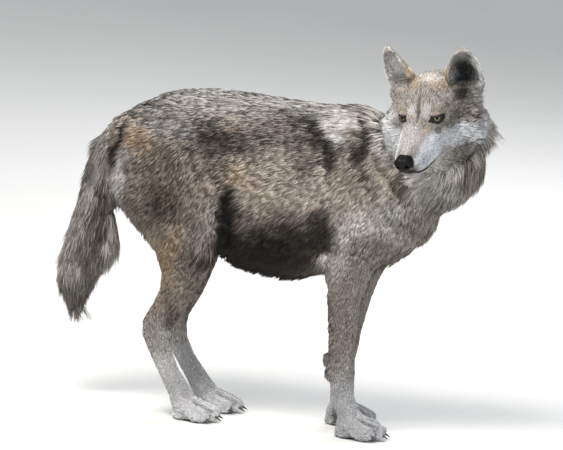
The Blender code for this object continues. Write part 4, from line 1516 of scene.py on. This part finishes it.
@dataclass
class Coat:
    """The hair: closed tapering tufts, drawn together in locks, lying along the body."""

    skin: Skin
    head: HeadFrame
    seed: int = 11
    patch: float = 0.003

    def settle(self) -> None:
        """Works out how the coat grows at each vertex of the skin."""
        skin = self.skin
        kinds = [PELAGE[region] for region in Region]
        table = [[k.length * MM, k.width * MM, k.clump * MM, k.density * 1e4, k.pull] for k in kinds]
        fields = skin.weights @ np.array(table)
        points = skin.points
        local = self.head.local(points)
        self.length, self.width, self.clump, self.density, self.pull = fields.T.copy()
        grow = skin.head_factor(points, *FACE_GROWTH)
        self.length *= grow
        self.width *= 1 + (grow - 1) * 0.26
        self.density /= np.maximum(1 + (grow - 1) * 0.55, 0.7)
        self.clump *= 1 + (grow - 1) * 0.6
        body = points - np.array([0, SPINE_Y, 0])
        under = step(0.15, 0.65, -skin.normals[:, 2])
        belly = step(0.43, 0.37, points[:, 2]) * skin.weights[:, Region.TRUNK.value] * under
        self.droop = 1.5 * belly + 0.12 * skin.weights[:, Region.TAIL.value]
        self.stand = 1 + 1.6 * belly
        self.length *= 1 + 0.35 * belly
        self.pull += 0.40 * belly
        self.clump *= 1 + 0.5 * belly
        rear = skin.weights[:, Region.FOREARM.value] * step(0.30, 0.80, -skin.normals[:, 0])
        pad = rear * step(0.10, 0.13, points[:, 2]) * step(0.19, 0.17, points[:, 2])
        self.length *= 1 - 0.45 * pad
        rear *= step(0.165, 0.200, points[:, 2])
        self.length *= 1 + 0.8 * rear
        self.stand += 1.6 * rear
        elbow = 1 - step(0.5, 1.3, np.linalg.norm(np.abs(body) - [0.127, 0.091, 0.382], axis=1) / 0.018)
        self.length *= 1 + 1.2 * elbow
        self.stand += 2.5 * elbow
        brush = skin.weights[:, Region.TAIL.value] * step(0.30, 0.85, -skin.normals[:, 2])
        brush = brush * step(0.32, 0.25, points[:, 2])
        self.stand += 2.5 * brush
        self.droop += 0.9 * brush
        crown = 1 - step(0.5, 1.3, np.linalg.norm((local - [-0.090, 0, 0.045]) / [0.03, 0.05, 0.03], axis=1))
        self.length *= 1 + 0.5 * crown
        self.stand += 1.2 * crown
        withers = 1 - step(0.6, 1.3, np.linalg.norm((body - [0.14, 0, 0.68]) / [0.08, 0.12, 0.06], axis=1))
        self.length *= 1 + 0.35 * withers
        self.density *= 1 - np.clip(skin.bare * 1.3, 0, 1)
        to_eyes = [np.linalg.norm(local - np.array(eye.frame().translation), axis=1) for eye in EYES]
        near_eye = np.min(to_eyes, axis=0)
        lips = MOUTH.nearness(local, 4.0)
        muzzle_tip = 1 - step(0.9, 1.9, skin.nose_distance(local))
        self.length *= 1 - 0.60 * np.maximum(lips, muzzle_tip)
        ear_height = in_nearer_ear(local, body[:, 1:2] > 0)[:, 2]
        cup = skin.weights[:, Region.EAR.value] * step(0.045, 0.015, ear_height)
        self.length *= 1 + 0.9 * cup
        close = 1 - step(0.014, 0.034, near_eye)
        self.length *= 1 - 0.55 * close
        self.width *= 1 - 0.30 * close
        self.density *= 1 + 0.8 * close

    def grow(self, name: str, chosen: np.ndarray, slot: str = "coat", fine: bool = True) -> None:
        """Grows one piece of the coat.

        Args:
            name: the piece's name.
            chosen: the skin's triangles that it grows from.
            slot: not used.
            fine: whether the tufts are short enough to need one bend only.
        """
        skin = self.skin
        rng = np.random.default_rng(self.seed + sum(name.encode()))
        corners = skin.corners[chosen]
        amount = skin.areas[chosen] * self.density[corners].mean(axis=1)
        picked = np.repeat(np.arange(len(chosen)), np.floor(amount + rng.random(len(chosen))).astype(int))
        share = rng.random((len(picked), 2))
        folded = share.sum(axis=1) > 1
        share[folded] = 1 - share[folded]
        share = np.column_stack([1 - share.sum(axis=1), share])
        verts = corners[picked]

        def at(values: np.ndarray) -> np.ndarray:
            """A field's values at the roots."""
            return np.einsum("ij,ij...->i...", share, values[verts])

        roots, normals, flow = at(skin.points), unit(at(skin.normals)), at(skin.flow)
        flow = unit(along_surface(flow, normals))
        length, width, clump, pull = at(self.length), at(self.width), at(self.clump), at(self.pull)
        depth, droop, stand = at(skin.depth), at(self.droop), at(self.stand)
        light, dark = at(skin.light), at(skin.dark)
        count = len(roots)

        # locks: each tuft leans towards the middle of the nearest one
        heart = rng.random(count) < np.clip(1 / (at(self.density) * clump**2), 0, 1)
        hearts = np.flatnonzero(heart)
        tree = KDTree(len(hearts))
        for number, index in enumerate(hearts):
            tree.insert(roots[index], number)
        tree.balance()
        lock = np.array([tree.find(root)[1] for root in roots])
        drawn = roots[hearts][lock] - roots
        drawn = along_surface(along_surface(drawn, flow), normals)
        drawn *= np.minimum(1, 0.8 * clump / np.maximum(np.linalg.norm(drawn, axis=1), 1e-6))[:, None]
        lock_turn = rng.normal(0, 0.10, len(hearts))[lock]
        lock_size = rng.normal(1, 0.13, len(hearts))[lock]
        lock_lift = rng.normal(0, 0.035, len(hearts))[lock]
        streak = streaks(roots, flow, 1.5 * width.mean(), 1.5 * length.mean(), self.seed)

        length = length * np.clip(lock_size * rng.normal(1, 0.16, count), 0.45, 1.25)
        width = width * np.clip(rng.normal(1, 0.22, count), 0.5, 1.7)
        turn = lock_turn + rng.normal(0, 0.08, count)
        across = np.cross(normals, flow)
        flow = flow * np.cos(turn)[:, None] + across * np.sin(turn)[:, None]
        lift = np.clip(depth / length, 0.03, 0.5) * stand + lock_lift * stand
        lift = lift + np.abs(rng.normal(0, 0.04, count))
        first = unit(flow + normals * (lift * 1.40)[:, None])
        last = unit(flow + normals * (lift * 0.22)[:, None] - UP * droop[:, None])
        roots = roots - normals * (0.0006 + 0.04 * depth)[:, None]
        bend = roots + first * (length * 0.45)[:, None] + drawn * (pull * 0.45)[:, None]
        tips = bend + last * (length * 0.55)[:, None] + drawn * (pull * 0.55)[:, None]
        tips[:, 2] = np.maximum(tips[:, 2], 0.0012)
        bend[:, 2] = np.maximum(bend[:, 2], 0.0015)
        run = unit(tips - roots)
        wide = unit(np.cross(normals, run))
        roll = rng.normal(0, 0.28, count)
        top = np.cross(run, wide)
        wide, top = (
            wide * np.cos(roll)[:, None] + top * np.sin(roll)[:, None],
            top * np.cos(roll)[:, None] - wide * np.sin(roll)[:, None],
        )
        half = width[:, None] / 2

        tone = np.clip(1 + 0.42 * (streak - 0.5) + rng.normal(0, 0.10, count), 0.5, 1.5)[:, None]
        mixed = 0.50 * (1 - streak) + 0.50 * rng.random(count)
        tipped = (ranks(mixed) < dark).astype(float)[:, None]
        black = linear(self.skin.markings.black)
        body = light * tone * (1 - 0.30 * tipped)
        # darker roots: partly the hair's own banding, partly painted shade deep in the coat
        root_colour = body * (0.66 - 0.42 * np.clip(dark, 0, 0.8))[:, None]
        mid_colour = body * (1 - 0.45 * tipped) + black * 0.45 * tipped
        tip_colour = body * 1.08 * (1 - tipped) + (black * 0.92 + body * 0.08) * tipped

        if fine:
            thick = np.cross(wide, run) * (width * 0.22 + length * 0.012)[:, None]
            thick = thick * np.sign((thick * normals).sum(axis=1, keepdims=True))
            bend = bend + thick
            rings = [(bend, half, mid_colour)]
        else:
            early = roots + (bend - roots) * 0.62 + normals * (length * 0.02)[:, None]
            late = bend + (tips - bend) * 0.42 + normals * (length * 0.01)[:, None]
            # the first bend is darkened too, painted shade nearer the root
            rings = [(early, half * 0.85, mid_colour * 0.85), (late, half * 0.80, mid_colour)]
        flat = self.unwrap(chosen)
        spots = np.einsum("ij,ijk->ik", share, flat[picked])
        ends = ((roots, root_colour), (tips, tip_colour))
        piece = self.assemble(name, ends, rings, (wide, top), spots)
        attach(piece, BODY)

    def assemble(
        self,
        name: str,
        ends: tuple[tuple[np.ndarray, np.ndarray], tuple[np.ndarray, np.ndarray]],
        rings: list[tuple[np.ndarray, np.ndarray, np.ndarray]],
        axes: tuple[np.ndarray, np.ndarray],
        spots: np.ndarray,
    ) -> bpy.types.Object:
        """Joins the tufts in one mesh: closed wedges with one bend, or closed spindles with two.

        Args:
            name: the piece's name.
            ends: the roots with their colours, and the tips with theirs.
            rings: each bend's places, half widths and colours.
            axes: each tuft's directions across its width and its thickness.
            spots: each tuft's place on the skin's map.

        Returns:
            The piece.
        """
        (roots, root_colour), (tips, tip_colour) = ends
        wide, top = axes
        count = len(roots)
        flat_bend = len(rings) == 1
        columns, colours = [roots], [root_colour]
        for centre, half, colour in rings:
            # painted shading across each tuft: one edge darker, the ridge and the other edge lighter
            columns.append(centre + wide * half)
            colours.append(colour * 0.94)
            if not flat_bend:
                columns.append(centre + top * half * 0.55)
                colours.append(colour * 1.06)
            columns.append(centre - wide * half)
            colours.append(colour * 1.04)
        columns.append(tips)
        colours.append(tip_colour)
        each = len(columns)
        points = np.stack(columns, axis=1).reshape(-1, 3)
        paint = np.clip(np.stack(colours, axis=1).reshape(-1, 3), 0, 1)
        faces = [(0, 2, 1), (1, 2, 3), (0, 1, 3), (0, 3, 2)] if flat_bend else []
        for k in range(0 if flat_bend else 3):
            a, b = 1 + k, 1 + (k + 1) % 3
            faces.append((0, b, a))
            for ring in range(len(rings) - 1):
                low, high = 3 * ring, 3 * ring + 3
                faces += [(a + low, b + low, b + high), (a + low, b + high, a + high)]
            last = 3 * (len(rings) - 1)
            faces.append((a + last, b + last, each - 1))
        faces = np.array(faces)
        corner = (faces[None] + (np.arange(count) * each)[:, None, None]).reshape(-1)
        mesh = bpy.data.meshes.new(name)
        mesh.vertices.add(len(points))
        mesh.vertices.foreach_set("co", points.ravel())
        mesh.loops.add(len(corner))
        mesh.loops.foreach_set("vertex_index", corner.astype(np.int32))
        total = len(corner) // 3
        mesh.polygons.add(total)
        mesh.polygons.foreach_set("loop_start", np.arange(0, len(corner), 3, dtype=np.int32))
        mesh.polygons.foreach_set("use_smooth", [True] * total)
        mesh.update(calc_edges=True)
        write_attribute(mesh, "coat", paint)
        shape = [(0, -0.5)]
        for ring in range(len(rings)):
            rise = -0.5 + (ring + 1) / (len(rings) + 1)
            shape += [(across, rise) for across in ((-0.5, 0.5) if flat_bend else (-0.5, 0, 0.5))]
        shape = np.array(shape + [(0, 0.5)]) * self.patch
        uv = (spots[:, None] + shape[None]).reshape(-1, 2)[corner]
        layer = mesh.uv_layers.new(name="OFBake")
        layer.data.foreach_set("uv", np.clip(uv, 0, 1).ravel())
        mesh.materials.append(self.material)
        LOG.info("%s: %d tufts, %d triangles", name, count, total)
        return link_mesh(name, mesh)

    def unwrap(self, chosen: np.ndarray) -> np.ndarray:
        """Unwraps the skin that a piece grows from, and returns the place of each corner on the map."""
        corners = self.skin.corners[chosen]
        used, local = np.unique(corners, return_inverse=True)
        mesh = bpy.data.meshes.new("unwrap")
        mesh.from_pydata(self.skin.points[used].tolist(), [], local.reshape(-1, 3).tolist())
        thing = link_mesh("unwrap", mesh)
        layer = mesh.uv_layers.new(name="OFBake")
        bpy.context.view_layer.objects.active = thing
        thing.select_set(True)
        bpy.ops.object.mode_set(mode="EDIT")
        bpy.ops.mesh.select_all(action="SELECT")
        bpy.ops.uv.smart_project(angle_limit=math.radians(66), island_margin=0.002)
        bpy.ops.object.mode_set(mode="OBJECT")
        flat = np.empty(len(mesh.loops) * 2)
        mesh.uv_layers["OFBake"].data.foreach_get("uv", flat)
        bpy.data.objects.remove(thing)
        bpy.data.meshes.remove(mesh)
        return flat.reshape(-1, 3, 2)

    def build(self) -> None:
        """Grows the coat, a piece for each part of the body."""
        self.settle()
        self.material = GuardHair().material()
        skin = self.skin
        middle = skin.points[skin.corners].mean(axis=1)
        region = skin.weights[skin.corners].mean(axis=1).argmax(axis=1)
        left = middle[:, 1] > SPINE_Y

        def of(*regions: Region) -> np.ndarray:
            """The triangles of some regions."""
            return np.isin(region, [item.value for item in regions])

        trunk, face = of(Region.TRUNK), of(Region.FACE)
        fore = middle[:, 0] > 0.02
        muzzle = self.head.local(middle)[:, 0] > -0.012
        pieces = {
            "coat_muzzle": (face & muzzle, "pale_coat", True),
            "coat_cheeks": (face & ~muzzle, "pale_coat", True),
            "coat_ears": (of(Region.EAR), "coat", True),
            "coat_neck": (of(Region.NECK), "coat", False),
            "coat_withers_left": (trunk & left & fore, "coat", True),
            "coat_withers_right": (trunk & ~left & fore, "coat", True),
            "coat_loin_left": (trunk & left & ~fore, "coat", True),
            "coat_loin_right": (trunk & ~left & ~fore, "coat", True),
            "coat_tail": (of(Region.TAIL), "coat", False),
            "coat_shoulders": (of(Region.SHOULDER), "coat", True),
            "coat_thighs": (of(Region.THIGH), "coat", True),
            "coat_forelegs": (of(Region.FOREARM, Region.FOREPAW), "pale_coat", True),
            "coat_hindlegs": (of(Region.SHANK, Region.HOCK, Region.HINDPAW), "pale_coat", True),
        }
        for name, (mask, slot, fine) in pieces.items():
            self.grow(name, np.flatnonzero(mask), slot, fine)


# ---------------------------------------------------------------- the studio


@dataclass
class Studio:
    """A plain pale floor, soft light and the camera."""

    azimuth: float = 10.0
    elevation: float = 10.0
    roll: float = 4.5
    distance: float = 24.0
    field: float = 1.19356  # the width seen at the target
    target: tuple[float, float, float] = (0.0185, 0.0644, 0.427)

    def build(self) -> None:
        """Puts up floor, lights and camera."""
        bm = bmesh.new()
        bmesh.ops.create_grid(bm, x_segments=1, y_segments=1, size=60.0)
        material, tree = new_material("studio_floor")
        place = add_node(tree, "ShaderNodeTexCoord", {}, {})
        mottle = add_node(tree, "ShaderNodeTexNoise", {}, {"Vector": place.outputs["Object"], "Scale": 3.0})
        tone = blend(tree, mottle.outputs["Fac"], "e2e2e0", "e8e8e6")
        shader = add_node(tree, "ShaderNodeBsdfPrincipled", {}, {"Base Color": tone, "Roughness": 0.8})
        close_material(tree, shader)
        floor = from_bmesh("studio_floor", bm, material)
        world = bpy.data.worlds.new("studio")
        bpy.context.scene.world = world
        world.use_nodes = True
        tree = world.node_tree
        tree.nodes.clear()
        sky = add_node(tree, "ShaderNodeBackground", {}, {"Color": rgba("e9edf2"), "Strength": 0.55})
        add_node(tree, "ShaderNodeOutputWorld", {}, {"Surface": sky.outputs[0]})
        self.light("key", (-0.9, -2.3, 3.8), 1.8, 215.0, "fffaf4")
        self.light("fill", (2.8, -2.2, 1.6), 2.4, 34.0, "eef3ff")
        self.light("back", (0.6, 3.0, 2.8), 2.4, 80.0, "ffffff")
        self.camera()
        bpy.context.scene.view_settings.view_transform = "Standard"

    def light(self, name: str, place: tuple, size: float, power: float, colour: str) -> None:
        """A square soft box that points at the wolf."""
        lamp = bpy.data.lights.new(name, "AREA")
        lamp.energy, lamp.size, lamp.color = power, size, tuple(linear(colour))
        thing = bpy.data.objects.new(name, lamp)
        thing.location = place
        thing.rotation_euler = (Vector(self.target) - Vector(place)).to_track_quat("-Z", "Y").to_euler()
        bpy.context.scene.collection.objects.link(thing)

    def camera(self) -> None:
        """A long lens from the animal's right, a little ahead of it, above it and tilted."""
        a, e, roll = (math.radians(value) for value in (self.azimuth, self.elevation, self.roll))
        right = Vector((math.cos(a), math.sin(a), 0))
        back = Vector((math.sin(a) * math.cos(e), -math.cos(a) * math.cos(e), math.sin(e)))
        up = back.cross(right)
        rolled = right * math.cos(roll) + up * math.sin(roll)
        raised = up * math.cos(roll) - right * math.sin(roll)
        lens = bpy.data.cameras.new("camera")
        lens.sensor_width = 36.0
        lens.lens = 36.0 * self.distance / self.field
        lens.clip_start, lens.clip_end = 0.1, 100.0
        thing = bpy.data.objects.new("camera", lens)
        axes = Matrix((rolled, raised, back)).transposed().to_4x4()
        thing.matrix_world = Matrix.Translation(Vector(self.target) + back * self.distance) @ axes
        bpy.context.scene.collection.objects.link(thing)
        bpy.context.scene.camera = thing


def main() -> None:
    """Builds the wolf and its studio, and reports each part."""
    logging.basicConfig(level=logging.INFO, format="%(relativeCreated)d %(message)s")
    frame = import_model()
    nodes = frame["nodes"]
    Studio().build()
    head = HeadFrame().settle()
    LOG.info("head at %s", [round(value, 4) for value in head.matrix.translation])
    markings = Markings(head)
    skin = Skin(head, markings, Lie(head))
    skin.build(nodes)
    LOG.info("skin: %d triangles", len(skin.corners))
    for eye in EYES:
        eye.build(head)
    NosePad().build(head)
    horn = Horn().material()
    for foot in FEET:
        Claws(foot).build(nodes, horn)
    Coat(skin, head).build()


if __name__ == "__main__":
    main()
